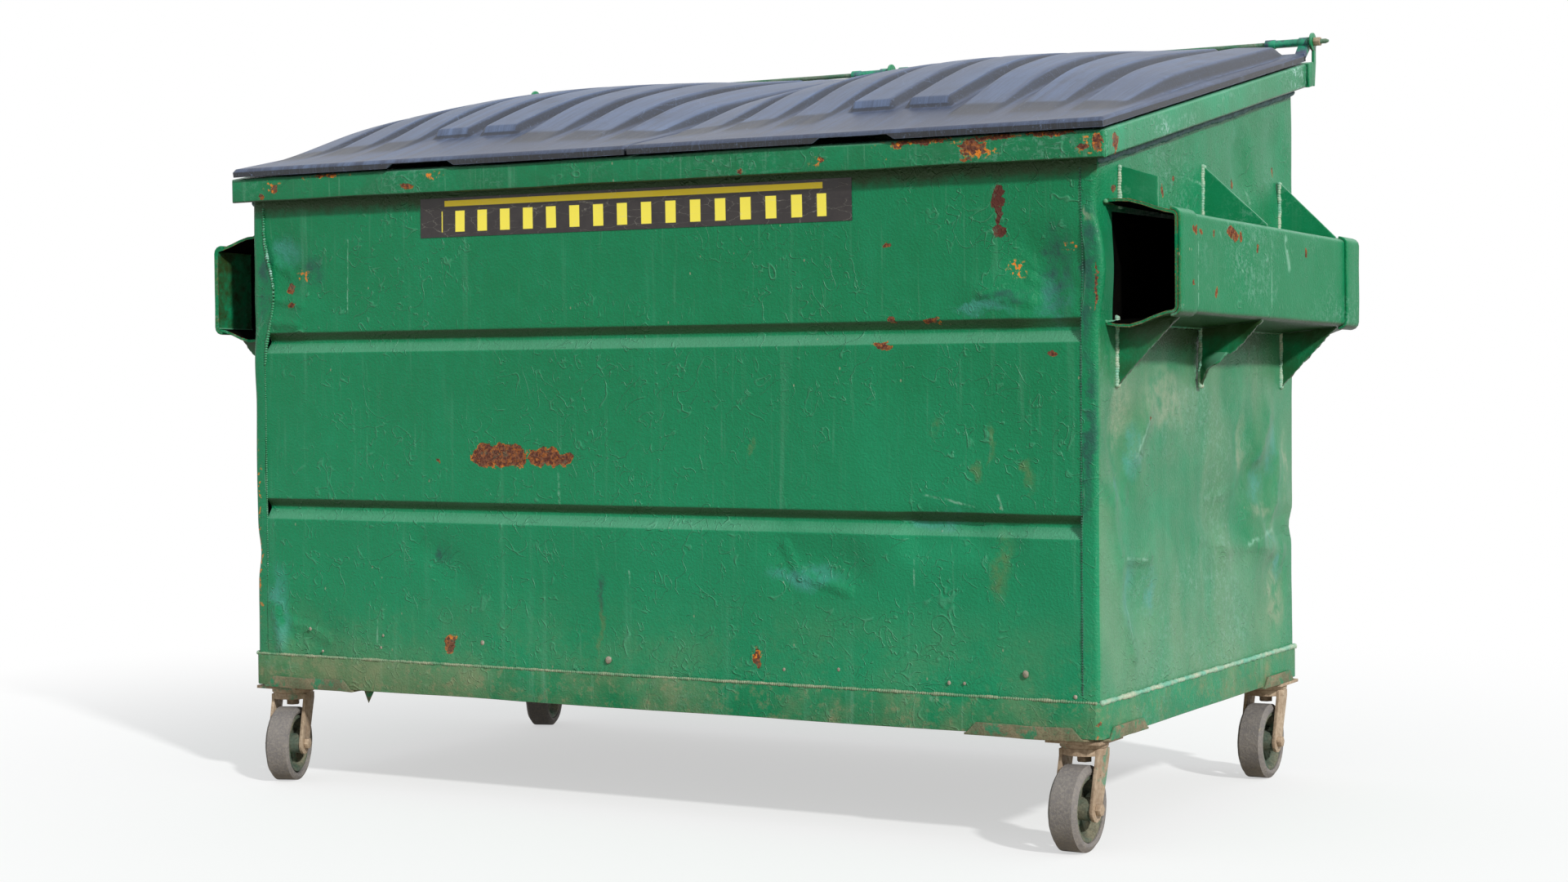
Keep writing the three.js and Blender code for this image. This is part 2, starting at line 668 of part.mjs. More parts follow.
// Top plate with its raceway, and the kingpin and nut that hold the fork
function swivelPlate(name, parent) {
  const top = casterHeight - seam;
  const plateLow = top - casterPlate;
  const raceLow = plateLow - racewayHeight;
  const crownLow = raceLow - 2 * seam - crownHeight;
  const half = casterPlateWidth / 2;
  const plate = alongZ(
    rectangle(-half, -casterPlateLength / 2, half, casterPlateLength / 2), plateLow, casterPlate);
  const washerLow = crownLow - washerHeight;
  const spindle = turned([
    [0, washerLow - overrun], [kingpinRadius, washerLow - overrun], [kingpinRadius, washerLow],
    [kingpinWasher, washerLow], [kingpinWasher, crownLow], [kingpinRadius, crownLow],
    [kingpinRadius, raceLow], [racewayRadius - racewayLip, raceLow], [racewayRadius, raceLow + racewayLip],
    [racewayRadius, plateLow + overrun], [0, plateLow + overrun],
  ], smallSides + smallSides / 2);
  const nut = alongZ(hexagon(kingpinNut), washerLow - kingpinNutHeight, kingpinNutHeight);
  place(name, shell(join(plate, spindle, nut)), bareSteel, parent);
}

// Fork of one caster: a crown round the kingpin and two legs that reach the trailing axle
function fork(name, parent) {
  const crownTop = casterHeight - seam - casterPlate - racewayHeight - seam;
  const crownLow = crownTop - crownHeight;
  const legFace = legSpacing / 2;
  const crown = alongZ(ring(crownRadius, smallSides + smallSides / 2), crownLow, crownHeight);
  const outline = [
    [legTop / 2, crownTop - overrun], [-legTop / 2, crownTop - overrun],
    [-legTop / 2, crownLow - overrun],
  ];
  for (let i = 0; i <= smallSides / 2; i += 1) {
    const angle = Math.PI + (Math.PI * i) / (smallSides / 2);
    const [across, up] = [Math.cos(angle), Math.sin(angle)];
    outline.push([-casterTrail + (legBottom / 2) * across, wheelRadius + (legBottom / 2) * up]);
  }
  outline.push([legTop / 2, crownLow - overrun]);
  const eye = ring(axleRadius + seam, smallSides, [-casterTrail, wheelRadius]);
  const greaseHole = ring(legHoleRadius, smallSides / 2, [-casterTrail / 2, wheelRadius + legHoleRise]);
  const rightLeg = alongX(outline, legFace, legPlate, [eye, greaseHole]);
  const leftLeg = alongX(outline, -legFace - legPlate, legPlate, [eye]);
  const pinBore = alongZ(ring(kingpinRadius + seam, pinSides), crownLow - overrun, crownHeight + 2 * overrun);
  place(name, shell(cut(join(crown, rightLeg, leftLeg), pinBore)), bareSteel, parent);
}

function axleBolt(name, parent) {
  const face = legSpacing / 2 + legPlate + seam;
  const shank = alongX(ring(axleRadius, smallSides), -face - overrun, 2 * (face + overrun));
  const head = alongX(hexagon(axleNut), face, axleNutHeight);
  const nut = alongX(hexagon(axleNut), -face - axleNutHeight, axleNutHeight);
  place(name, shell(join(shank, head, nut)), bareSteel, parent).position.set(0, -casterTrail, wheelRadius);
}

// Spoked iron core: hub, spokes and the rim that the tyre is seated on
function wheelCore(name, parent) {
  const half = coreWidth / 2;
  const hubHalf = legSpacing / 2 - hubSlack;
  const seat = tyreSeat - seam;
  const rim = new THREE.LatheGeometry([
    [seat - coreLip, -half], [seat, -half], [seat, half], [seat - coreLip, half],
    [seat - 2 * coreLip, spokeThickness / 2], [seat - 2 * coreLip, -spokeThickness / 2],
    [seat - coreLip, -half],
  ].map(([r, z]) => new THREE.Vector2(r, z)), roundSides - smallSides / 2).rotateZ(-Math.PI / 2);
  const hub = alongX(ring(hubRadius, smallSides), -hubHalf, 2 * hubHalf);
  const spokes = Array.from({ length: spokeCount }, (_, i) => alongX(
    rectangle(0, -spokeWidth / 2, seat - coreLip - overrun, spokeWidth / 2), -spokeThickness / 2, spokeThickness)
    .rotateX((i / spokeCount) * 2 * Math.PI + Math.PI / 2));
  const bore = alongX(ring(axleRadius + seam, smallSides), -legSpacing, 2 * legSpacing);
  place(name, shell(cut(join(rim, hub, ...spokes), bore)), castIron, parent);
}

function tyre(name, parent) {
  const half = tyreWidth / 2;
  const tread = treadWidth / 2;
  const seatHalf = coreWidth / 2;
  const profile = [
    [tyreSeat, -seatHalf], [wheelRadius - tyreShoulder, -half], [wheelRadius, -tread],
    [wheelRadius, tread], [wheelRadius - tyreShoulder, half], [tyreSeat, seatHalf], [tyreSeat, -seatHalf],
  ].map(([r, x]) => new THREE.Vector2(r, x));
  place(name, new THREE.LatheGeometry(profile, roundSides).rotateZ(-Math.PI / 2), rubber, parent);
}

// One complete caster, turned on its kingpin as it stands in use
function caster(corner, x, y, yaw) {
  const stand = new THREE.Group();
  stand.position.set(x, y, 0);
  root.add(stand);
  swivelPlate(`${corner}_caster_plate`, stand);
  const swivel = new THREE.Group();
  swivel.rotation.z = yaw;
  stand.add(swivel);
  fork(`${corner}_fork`, swivel);
  axleBolt(`${corner}_axle_bolt`, swivel);
  const wheel = new THREE.Group();
  wheel.position.set(0, -casterTrail, wheelRadius);
  swivel.add(wheel);
  wheelCore(`${corner}_wheel_core`, wheel);
  tyre(`${corner}_tyre`, wheel);
}

floorPan();
endWall('front_wall', 0, 1);
endWall('rear_wall', bodyDepth, -1);
sideWall('left_side_wall', -1);
sideWall('right_side_wall', 1);
rims();
for (const [prefix, side] of [['left', -1], ['right', 1]]) {
  forkPocket(`${prefix}_fork_pocket`, side);
  pocketBand(`${prefix}_pocket_band_front`, side, pocketFront);
  pocketBand(`${prefix}_pocket_band_rear`, side, pocketRear - bandWidth);
  gussets(prefix, side);
  cornerPad(`front_${prefix}_pad`, side, -1);
  cornerPad(`rear_${prefix}_pad`, side, 1);
  hingeLug(`${prefix}_hinge_lug`, side * lugCentre);
  rodNut(`${prefix}_rod_nut`, side);
  lid(`${prefix}_lid`, side);
}
hingeLug('centre_hinge_lug', 0);
lidRod();
const casterX = halfWidth - casterInset;
const rearCasterY = bodyDepth - rearCasterSetback;
caster('front_left', -casterX, frontCasterSetback, frontLeftYaw);
caster('front_right', halfWidth - frontRightInset, frontCasterSetback, 0);
caster('rear_left', -casterX, rearCasterY, rearLeftYaw);
caster('rear_right', casterX, rearCasterY, 0);

root.position.y = frontWallY;

export default root;
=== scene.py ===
"""Worn slant-top waste container: dented sheets, welds, moulded lids, casters and their finishes."""

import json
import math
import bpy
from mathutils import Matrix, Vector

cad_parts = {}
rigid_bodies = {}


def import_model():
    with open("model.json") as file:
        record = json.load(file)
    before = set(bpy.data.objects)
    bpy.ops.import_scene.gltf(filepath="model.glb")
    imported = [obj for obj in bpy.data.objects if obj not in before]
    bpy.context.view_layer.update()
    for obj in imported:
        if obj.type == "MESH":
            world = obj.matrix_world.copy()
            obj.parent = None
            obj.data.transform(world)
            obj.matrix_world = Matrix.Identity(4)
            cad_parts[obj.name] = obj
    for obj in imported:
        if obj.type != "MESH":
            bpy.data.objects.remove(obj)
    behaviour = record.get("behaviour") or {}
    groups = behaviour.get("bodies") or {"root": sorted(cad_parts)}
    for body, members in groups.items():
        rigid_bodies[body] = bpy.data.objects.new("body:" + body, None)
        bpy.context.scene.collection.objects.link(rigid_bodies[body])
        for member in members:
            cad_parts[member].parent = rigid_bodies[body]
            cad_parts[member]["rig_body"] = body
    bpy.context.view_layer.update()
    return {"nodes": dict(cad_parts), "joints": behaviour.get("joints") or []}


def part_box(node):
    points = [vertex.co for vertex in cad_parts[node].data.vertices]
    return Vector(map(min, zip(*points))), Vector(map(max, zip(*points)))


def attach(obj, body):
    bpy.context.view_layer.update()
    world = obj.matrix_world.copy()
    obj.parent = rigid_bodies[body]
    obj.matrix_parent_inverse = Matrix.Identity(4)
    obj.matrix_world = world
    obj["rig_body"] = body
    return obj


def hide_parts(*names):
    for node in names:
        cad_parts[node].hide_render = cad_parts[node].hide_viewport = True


bl_info = {
    "name": "Wheeled Waste Container",
    "version": (1, 0, 0),
    "blender": (4, 5, 0),
    "location": "3D View > Sidebar > Container",
    "description": "Dresses a packed steel waste container with dents, welds, rust, lids and casters",
    "category": "Object",
}

import bpy
from bpy.props import FloatProperty, FloatVectorProperty, IntProperty, PointerProperty
from bpy.types import Operator, Panel, PropertyGroup
from mathutils import Matrix, Vector, noise

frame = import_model()

# Places taken from the frame
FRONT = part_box("front_wall")[0].y
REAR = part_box("rear_wall")[1].y
SEAM_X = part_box("front_wall")[1].x
WALL_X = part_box("right_side_wall")[1].x
RIM_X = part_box("right_rim")[1].x
RIM_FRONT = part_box("front_rim")[0].y
SKIRT_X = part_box("floor_pan")[1].x
SKIRT_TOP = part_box("floor_pan")[1].z
SKIRT_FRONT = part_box("floor_pan")[0].y
SKIRT_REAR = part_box("floor_pan")[1].y
PAN_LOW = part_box("floor_pan")[0].z
POCKET_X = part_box("right_fork_pocket")[1].x
POCKET_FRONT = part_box("right_fork_pocket")[0].y
POCKET_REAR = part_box("right_fork_pocket")[1].y
POCKET_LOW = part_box("right_fork_pocket")[0].z
POCKET_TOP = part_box("right_fork_pocket")[1].z
SIDES = {"left": -1, "right": 1}
ENDS = ("front", "middle", "rear")
CORNERS = ("front_left", "front_right", "rear_left", "rear_right")
HINGE = next(j for j in frame["joints"] if j["name"] == "right_lid_hinge")
ROD = Vector(HINGE["pos_m"])
WHEELS = {c: next(j for j in frame["joints"] if j["name"] == f"{c}_wheel_spin") for c in CORNERS}

LID_SLOPE = math.radians(11.5)
MERGE_GAP = 0.00002
FLAT_ANGLE = math.radians(0.3)
WELD_X = WALL_X + 0.001
SEAM_FOOT = 0.27

# Knock in the left front seam, with its height, sideways push and reach
KNOCK_HEIGHT = 0.975
KNOCK_PUSH = 0.024
KNOCK_REACH = 0.13


def tint(code):
    """Linear colour of a six-digit sRGB code."""
    parts = [int(code[i:i + 2], 16) / 255 for i in (0, 2, 4)]
    return tuple(c / 12.92 if c <= 0.04045 else ((c + 0.055) / 1.055) ** 2.4 for c in parts)


def colour_property(name, description, code):
    """Colour setting with its default given as an sRGB code."""
    return FloatVectorProperty(
        name=name, description=description, subtype="COLOR", size=3, min=0, max=1, default=tint(code))


def length_property(name, description, metres):
    """Length setting in metres."""
    return FloatProperty(
        name=name, description=description, subtype="DISTANCE", unit="LENGTH", default=metres)


def angle_property(name, description, radians):
    """Angle setting in radians."""
    return FloatProperty(name=name, description=description, subtype="ANGLE", default=radians)


class ContainerColours(PropertyGroup):
    """Colours of the paint, rust, dust, plastic and rubber."""

    paint: colour_property("Paint", "Sound green paint", "0B7A4C")
    washed: colour_property("Washed paint", "Paint faded by sun and rain", "229C71")
    # This pale colour also paints light: on faces that look up and along the paint wrinkles.
    chalk_and_sheen: colour_property("Chalk", "Powdery bloom and old runs on the paint", "8CC0A6")
    scraped: colour_property("Scraped paint", "Pale bluish paint where it was scraped", "A9CFC6")
    # The tan film colour also paints sheen: the pale reflection blotches on the sides.
    tan_film_and_sheen: colour_property("Tan film", "Film of road dust on the worn sides", "869C7E")
    smear: colour_property("Smears", "Olive smears on the front", "64794A")
    teal: colour_property("Teal scuffs", "Bluish marks of blows and rubbing", "4E9C94")
    slate: colour_property("Slate scuffs", "Dark marks at battered corners", "254A48")
    # Olive stands for dirt, and also for painted shade on faces that look down and in bands under the rim and
    # the pockets.
    olive: colour_property("Olive grime", "Dark grime under ledges", "2C3D1C")
    primer: colour_property("Primer", "Maroon primer under lost paint", "502A22")
    rust: colour_property("Rust", "Old brown rust", "7A4E3A")
    fresh_rust: colour_property("Fresh rust", "Orange rust at the rim of a chip", "E0852F")
    dust: colour_property("Dust", "Tan dust and dried mud", "9A9072")
    sealant: colour_property("Sealant", "Grey-blue sealant under the side rims", "5A7C86")
    plastic: colour_property("Lid plastic", "Weathered slate plastic", "384157")
    # The pale plastic colour also paints sky sheen on the rib tops.
    plastic_pale: colour_property("Chalky plastic", "Bleached streaks on the lids", "7387A9")
    # The lid grime colour is also painted shade on the rib flanks.
    plastic_dirt_and_shade: colour_property("Lid grime", "Dirt in the valleys of the lids", "202228")
    rubber: colour_property("Rubber", "Worn grey rubber", "6E6A69")
    steel: colour_property("Bare steel", "Weathered bare steel", "A28C74")
    marker_black: colour_property("Marker strip", "Black of the level marker", "211A1B")
    marker_yellow: colour_property("Marker line", "Yellow of the level marker", "FFE42C")
    marker_pale: colour_property("Marker bars", "Paler yellow of the upright bars", "FFF058")


class ContainerSizes(PropertyGroup):
    """Sizes of the detail that is added to the frame."""

    front_step: length_property("Front step", "Spacing of the cuts that let the front sheet dent", 0.012)
    side_step: length_property("Side step", "Spacing of the cuts that let the side sheets dent", 0.013)
    rear_step: length_property("Rear step", "Spacing of the cuts that let the rear sheet dent", 0.026)
    edge_round: length_property("Edge rounding", "Width of the bevel on plates", 0.0012)
    weld_radius: length_property("Weld radius", "Half width of a weld bead", 0.0042)
    weld_pitch: length_property("Weld pitch", "Distance between the ripples of a weld", 0.0044)
    dent_scale: FloatProperty(
        name="Dent depth", description="Share of the full dent depth", min=0, max=1.5, default=1)
    lid_columns: IntProperty(name="Lid columns", description="Faces across a lid", min=40, default=240)
    lid_rows: IntProperty(name="Lid rows", description="Faces along a lid", min=40, default=168)
    tyre_segments: IntProperty(name="Tyre segments", description="Faces round a tyre", min=24, default=72)


class ContainerStage(PropertyGroup):
    """Camera and lamps."""

    camera_place: FloatVectorProperty(
        name="Camera place", description="Where the camera stands, from the front wall and the ground",
        subtype="TRANSLATION", unit="LENGTH", size=3, default=(2.5698, -3.9703, 0.8103))
    camera_turn: angle_property("Turn", "Turn of the camera about the upright", math.radians(29.6156))
    camera_pitch: angle_property("Pitch", "Rise of the view", math.radians(-1.4841))
    camera_roll: angle_property("Roll", "Lean of the camera", math.radians(-0.47))
    lens: FloatProperty(name="Lens", description="Focal length in millimetres", default=58.909)
    sky: FloatProperty(name="Sky", description="Strength of the even light", min=0, default=0.55)
    sun: FloatProperty(name="Sun", description="Strength of the key lamp", min=0, default=3.2)
    sun_turn: angle_property("Sun turn", "Direction of the key lamp", 1.057)
    sun_rise: angle_property("Sun rise", "Height of the key lamp", 0.52)
    sun_angle: angle_property("Sun softness", "Width of the key lamp", 0.06)
    ground: colour_property("Ground", "Pale floor", "F4F4F2")
    bounce: colour_property("Ground light", "Colour that the floor sends up on the container", "A79C86")


def colours():
    """Colour settings of the scene."""
    return bpy.context.scene.container_colours


def sizes():
    """Size settings of the scene."""
    return bpy.context.scene.container_sizes


# Node helpers

def fill(tree, node, inputs):
    """Fills or links the inputs of a node."""
    for key, value in inputs.items():
        socket = node.inputs[key]
        if isinstance(value, bpy.types.NodeSocket):
            tree.links.new(value, socket)
        elif socket.type == "RGBA":
            socket.default_value = (*value[:3], 1)
        else:
            socket.default_value = value


def add_node(tree, kind, inputs=None, **settings):
    """Adds a shader node, sets its properties, and fills or links its inputs."""
    made = tree.nodes.new("ShaderNode" + kind)
    for key, value in settings.items():
        setattr(made, key, value)
    fill(tree, made, inputs or {})
    return made


def calc(tree, operation, first, second=0.0):
    """Clamped result of an operation on two values."""
    return add_node(tree, "Math", {0: first, 1: second}, operation=operation, use_clamp=True).outputs[0]


def signed(tree, operation, first, second=0.0):
    """Result of an operation on one or two values, not clamped."""
    return add_node(tree, "Math", {0: first, 1: second}, operation=operation).outputs[0]


def times(tree, first, second):
    """Clamped product of two values."""
    return calc(tree, "MULTIPLY", first, second)


def scaled(tree, value, factor):
    """Product of two values, not clamped."""
    return signed(tree, "MULTIPLY", value, factor)


def vector(tree, operation, first, second):
    """Vector result of an operation on two vectors."""
    return add_node(tree, "VectorMath", {0: first, 1: second}, operation=operation).outputs[0]


def measure(tree, operation, first, second=(0, 0, 0)):
    """Length of a vector, or the dot product of two."""
    return add_node(tree, "VectorMath", {0: first, 1: second}, operation=operation).outputs["Value"]


def rise(tree, value, low, high):
    """Smooth step from 0 at low to 1 at high."""
    made = add_node(tree, "MapRange", {0: value, 1: low, 2: high}, interpolation_type="SMOOTHSTEP")
    return made.outputs[0]


def fall(tree, value, low, high):
    """Smooth step from 1 at low to 0 at high."""
    made = add_node(
        tree, "MapRange", {0: value, 1: low, 2: high, 3: 1.0, 4: 0.0}, interpolation_type="SMOOTHSTEP")
    return made.outputs[0]


def blend(tree, share, first, second):
    """Mix of two colours."""
    return add_node(tree, "Mix", {0: share, 6: first, 7: second}, data_type="RGBA").outputs[2]


def grain(tree, place, scale, detail=4.0, roughness=0.6, distortion=0.0):
    """Fractal noise value at a place."""
    return add_node(tree, "TexNoise", {
        "Vector": place, "Scale": scale, "Detail": detail, "Roughness": roughness, "Distortion": distortion,
    }).outputs[0]


def stretched(tree, place, scale):
    """Place scaled differently along each axis, for streaks."""
    return add_node(tree, "Mapping", {"Vector": place, "Scale": scale}).outputs[0]


def curls(tree, place, scale, width):
    """Short thin arcs, as where paint has wrinkled or run."""
    field = grain(tree, place, scale, 1.0, 0.5, 0.8)
    away = signed(tree, "ABSOLUTE", signed(tree, "SUBTRACT", field, 0.5))
    short = rise(tree, grain(tree, place, scale * 0.8, 2.0), 0.49, 0.57)
    return times(tree, fall(tree, away, 0.0, width), short)


def cracks(tree, place, scale, width):
    """Thin wandering lines at the borders of cells."""
    bent = warped(tree, place, scale, 0.6 / scale)
    edge = add_node(
        tree, "TexVoronoi", {"Vector": bent, "Scale": scale}, feature="DISTANCE_TO_EDGE").outputs[0]
    return fall(tree, edge, 0.0, width)


def warped(tree, place, scale, amount):
    """Place shifted by noise, so that an outline drawn there turns ragged."""
    cloud = add_node(tree, "TexNoise", {
        "Vector": place, "Scale": scale, "Detail": 4.0, "Roughness": 0.65}).outputs[1]
    centred = vector(tree, "SUBTRACT", cloud, (0.5, 0.5, 0.5))
    shift = add_node(tree, "VectorMath", {0: centred, "Scale": amount}, operation="SCALE").outputs[0]
    return vector(tree, "ADD", place, shift)


def mirrored(tree, place):
    """Place with the left side laid over the right, so that both carry the same marks."""
    axes = add_node(tree, "SeparateXYZ", {0: place}).outputs
    return add_node(tree, "CombineXYZ", {
        0: signed(tree, "ABSOLUTE", axes[0]), 1: axes[1], 2: axes[2]}).outputs[0]


def flecks(tree, place, scale, size, share):
    """Small dots in a share of the cells of a random pattern."""
    cell = add_node(tree, "TexVoronoi", {"Vector": place, "Scale": scale}).outputs
    picked = add_node(tree, "SeparateColor", {0: cell["Color"]}).outputs[0]
    near = fall(tree, cell["Distance"], size * 0.6, size)
    return times(tree, near, rise(tree, picked, 1 - share, 1.001 - share))


def new_group(name, inputs, outputs):
    """Empty shader group with named sockets, its input sockets and its output sockets."""
    kinds = {"value": "NodeSocketFloat", "colour": "NodeSocketColor", "vector": "NodeSocketVector"}
    tree = bpy.data.node_groups.new(name, "ShaderNodeTree")
    for label, kind in inputs.items():
        tree.interface.new_socket(label, in_out="INPUT", socket_type=kinds[kind])
    for label, kind in outputs.items():
        tree.interface.new_socket(label, in_out="OUTPUT", socket_type=kinds[kind])
    return tree, tree.nodes.new("NodeGroupInput").outputs, tree.nodes.new("NodeGroupOutput").inputs


def use_group(tree, name, inputs):
    """Places a named group in a material with its own values."""
    group = tree.nodes.new("ShaderNodeGroup")
    group.node_tree = bpy.data.node_groups[name]
    fill(tree, group, inputs)
    return group.outputs


# Shared effects

def faded_paint_group():
    """Old paint: faded areas, runs, flecks, and wrinkles with a painted highlight along them."""
    tree, given, made = new_group(
        "Faded Paint",
        {"Place": "vector", "Paint": "colour", "Washed": "colour", "Chalk": "colour",
         "Fading": "value", "Runs": "value", "Wrinkles": "value"},
        {"Colour": "colour", "Roughness": "value", "Height": "value"})
    place = given["Place"]
    clouds = rise(tree, grain(tree, place, 1.5, 5.0, 0.55, 0.3), 0.38, 0.7)
    drift = rise(tree, grain(tree, stretched(tree, place, (9, 9, 0.9)), 1.0, 5.0), 0.42, 0.72)
    fading = times(tree, calc(tree, "ADD", clouds, times(tree, drift, 0.6)), given["Fading"])
    colour = blend(tree, fading, given["Paint"], given["Washed"])
    mottle = rise(tree, grain(tree, place, 30.0, 4.0, 0.7), 0.4, 0.75)
    colour = blend(tree, times(tree, mottle, 0.14), colour, given["Washed"])
    runs = rise(tree, grain(tree, stretched(tree, place, (34, 34, 1.6)), 1.0, 3.0), 0.58, 0.8)
    fine_runs = rise(tree, grain(tree, stretched(tree, place, (130, 130, 5)), 1.0, 2.0), 0.6, 0.85)
    runs = times(tree, calc(tree, "ADD", runs, fine_runs), given["Runs"])
    colour = blend(tree, runs, colour, given["Chalk"])
    dots = flecks(tree, stretched(tree, place, (1, 1, 0.6)), 42.0, 0.085, 0.16)
    colour = blend(tree, times(tree, dots, 0.6), colour, (0.36, 0.36, 0.24))
    wrinkled = rise(tree, grain(tree, place, 2.6, 2.0), 0.38, 0.54)
    arcs = signed(tree, "MAXIMUM", curls(tree, place, 15.0, 0.013), curls(tree, place, 34.0, 0.026))
    arcs = times(tree, times(tree, arcs, wrinkled), given["Wrinkles"])
    # Pale tint along the wrinkles: a painted highlight on their ridges.
    colour = blend(tree, times(tree, arcs, 0.14), colour, given["Chalk"])
    grit = scaled(tree, grain(tree, place, 75.0, 4.0, 0.6), 0.12)
    lumps = scaled(tree, grain(tree, place, 22.0, 4.0, 0.6), 1.0)
    height = signed(tree, "ADD", scaled(tree, arcs, 1.8), signed(tree, "ADD", grit, lumps))
    tree.links.new(colour, made["Colour"])
    tree.links.new(signed(tree, "ADD", scaled(tree, fading, 0.14), 0.36), made["Roughness"])
    tree.links.new(height, made["Height"])


def rust_group():
    """Rust inside a mask, pitted, with orange where the paint has just let go."""
    tree, given, made = new_group(
        "Rust",
        {"Place": "vector", "Mask": "value", "Old": "colour", "Primer": "colour", "Fresh": "colour",
         "Fringe": "value"},
        {"Cover": "value", "Colour": "colour", "Height": "value"})
    place = given["Place"]
    rough = scaled(tree, signed(tree, "SUBTRACT", grain(tree, place, 85.0, 5.0, 0.7), 0.5), 0.9)
    level = signed(tree, "ADD", given["Mask"], rough)
    cover = rise(tree, level, 0.5, 0.54)
    pits = rise(tree, grain(tree, place, 210.0, 3.0, 0.7), 0.4, 0.62)
    old = blend(tree, pits, given["Primer"], given["Old"])
    flakes = rise(tree, grain(tree, place, 120.0, 4.0, 0.75), 0.5, 0.58)
    old = blend(tree, times(tree, flakes, 0.3), old, given["Fresh"])
    remains = rise(tree, grain(tree, place, 46.0, 5.0, 0.7), 0.55, 0.62)
    old = blend(tree, times(tree, remains, 0.55), old, (0.11, 0.12, 0.08))
    rim = fall(tree, level, 0.56, 0.7)
    broken = rise(tree, grain(tree, place, 70.0, 3.0, 0.6), 0.46, 0.6)
    fresh = times(tree, times(tree, rim, broken), given["Fringe"])
    tree.links.new(cover, made["Cover"])
    tree.links.new(blend(tree, fresh, old, given["Fresh"]), made["Colour"])
    tree.links.new(scaled(tree, signed(tree, "SUBTRACT", pits, cover), 0.5), made["Height"])


def edge_group():
    """Mask of the outer edges of plates, broken up by noise."""
    tree, given, made = new_group(
        "Edge Wear", {"Place": "vector", "Width": "value", "Amount": "value"}, {"Mask": "value"})
    bevel = add_node(tree, "Bevel", {"Radius": given["Width"]}, samples=4).outputs[0]
    flat = add_node(tree, "NewGeometry").outputs["Normal"]
    turn = measure(tree, "DOT_PRODUCT", bevel, flat)
    edge = fall(tree, turn, 0.82, 0.99)
    broken = rise(tree, grain(tree, given["Place"], 17.0, 5.0, 0.7), 0.36, 0.62)
    tree.links.new(times(tree, times(tree, edge, broken), given["Amount"]), made["Mask"])


def dust_group():
    """Dust and dried mud, thicker towards the ground."""
    tree, given, made = new_group(
        "Dust", {"Place": "vector", "Amount": "value", "Low": "value", "High": "value"}, {"Mask": "value"})
    place = given["Place"]
    height = add_node(tree, "SeparateXYZ", {0: place}).outputs[2]
    low = add_node(tree, "MapRange", {
        0: height, 1: given["Low"], 2: given["High"], 3: 1.0, 4: 0.0}).outputs[0]
    specks = rise(tree, grain(tree, place, 70.0, 4.0, 0.75), 0.5, 0.68)
    clouds = rise(tree, grain(tree, place, 6.0, 4.0), 0.35, 0.75)
    mask = times(tree, calc(tree, "ADD", scaled(tree, specks, 0.5), clouds), low)
    tree.links.new(times(tree, mask, given["Amount"]), made["Mask"])


def spot_group():
    """Soft ellipse round a place, for one patch of wear."""
    tree, given, made = new_group(
        "Spot", {"Place": "vector", "Centre": "vector", "Size": "vector"}, {"Mask": "value"})
    away = vector(tree, "SUBTRACT", given["Place"], given["Centre"])
    share = vector(tree, "DIVIDE", away, given["Size"])
    reach = measure(tree, "LENGTH", share)
    tree.links.new(signed(tree, "SUBTRACT", 1.5, reach), made["Mask"])


def scrape_group():
    """Broken pale patches where something has rubbed along the paint."""
    tree, given, made = new_group(
        "Scrapes", {"Place": "vector", "Scale": "value", "Amount": "value"}, {"Mask": "value"})
    place = warped(tree, given["Place"], 14.0, 0.02)
    broad = rise(tree, add_node(tree, "TexNoise", {
        "Vector": place, "Scale": given["Scale"], "Detail": 3.0}).outputs[0], 0.44, 0.66)
    crumbs = rise(tree, grain(tree, place, 80.0, 6.0, 0.8), 0.52, 0.58)
    hair = rise(tree, grain(tree, stretched(tree, place, (40, 150, 260)), 1.0, 3.0), 0.6, 0.66)
    mask = times(tree, signed(tree, "MAXIMUM", crumbs, hair), broad)
    tree.links.new(times(tree, mask, given["Amount"]), made["Mask"])


def line_group():
    """Soft line between two places, for one scratch or run."""
    tree, given, made = new_group(
        "Line", {"Place": "vector", "Start": "vector", "Run": "vector", "Width": "value"}, {"Mask": "value"})
    away = vector(tree, "SUBTRACT", given["Place"], given["Start"])
    along = measure(tree, "DOT_PRODUCT", away, given["Run"])
    whole = measure(tree, "DOT_PRODUCT", given["Run"], given["Run"])
    share = calc(tree, "DIVIDE", along, whole)
    reached = add_node(tree, "VectorMath", {0: given["Run"], "Scale": share}, operation="SCALE").outputs[0]
    off = vector(tree, "SUBTRACT", away, reached)
    reach = measure(tree, "LENGTH", off)
    tree.links.new(calc(tree, "SUBTRACT", 1.0, signed(tree, "DIVIDE", reach, given["Width"])), made["Mask"])


# Materials

def new_material(name):
    """Empty node material with its shader and the object's own coordinates."""
    material = bpy.data.materials.new(name)
    material.use_nodes = True
    tree = material.node_tree
    shader = tree.nodes["Principled BSDF"]
    place = add_node(tree, "TexCoord").outputs["Object"]
    return material, tree, shader, place


def seen_rays(tree):
    """Whether a ray comes from the camera or from a reflection."""
    path = add_node(tree, "LightPath").outputs
    return signed(tree, "MAXIMUM", path["Is Camera Ray"], path["Is Glossy Ray"])


def connect(tree, shader, colour, roughness, height, strength, distance):
    """Feeds the shader, with the height as a bump."""
    tree.links.new(colour, shader.inputs["Base Color"])
    tree.links.new(roughness, shader.inputs["Roughness"])
    bump = add_node(tree, "Bump", {"Height": height, "Strength": strength, "Distance": distance})
    tree.links.new(bump.outputs[0], shader.inputs["Normal"])


def most(tree, masks):
    """Highest of several masks."""
    top = masks[0]
    for mask in masks[1:]:
        top = signed(tree, "MAXIMUM", top, mask)
    return top


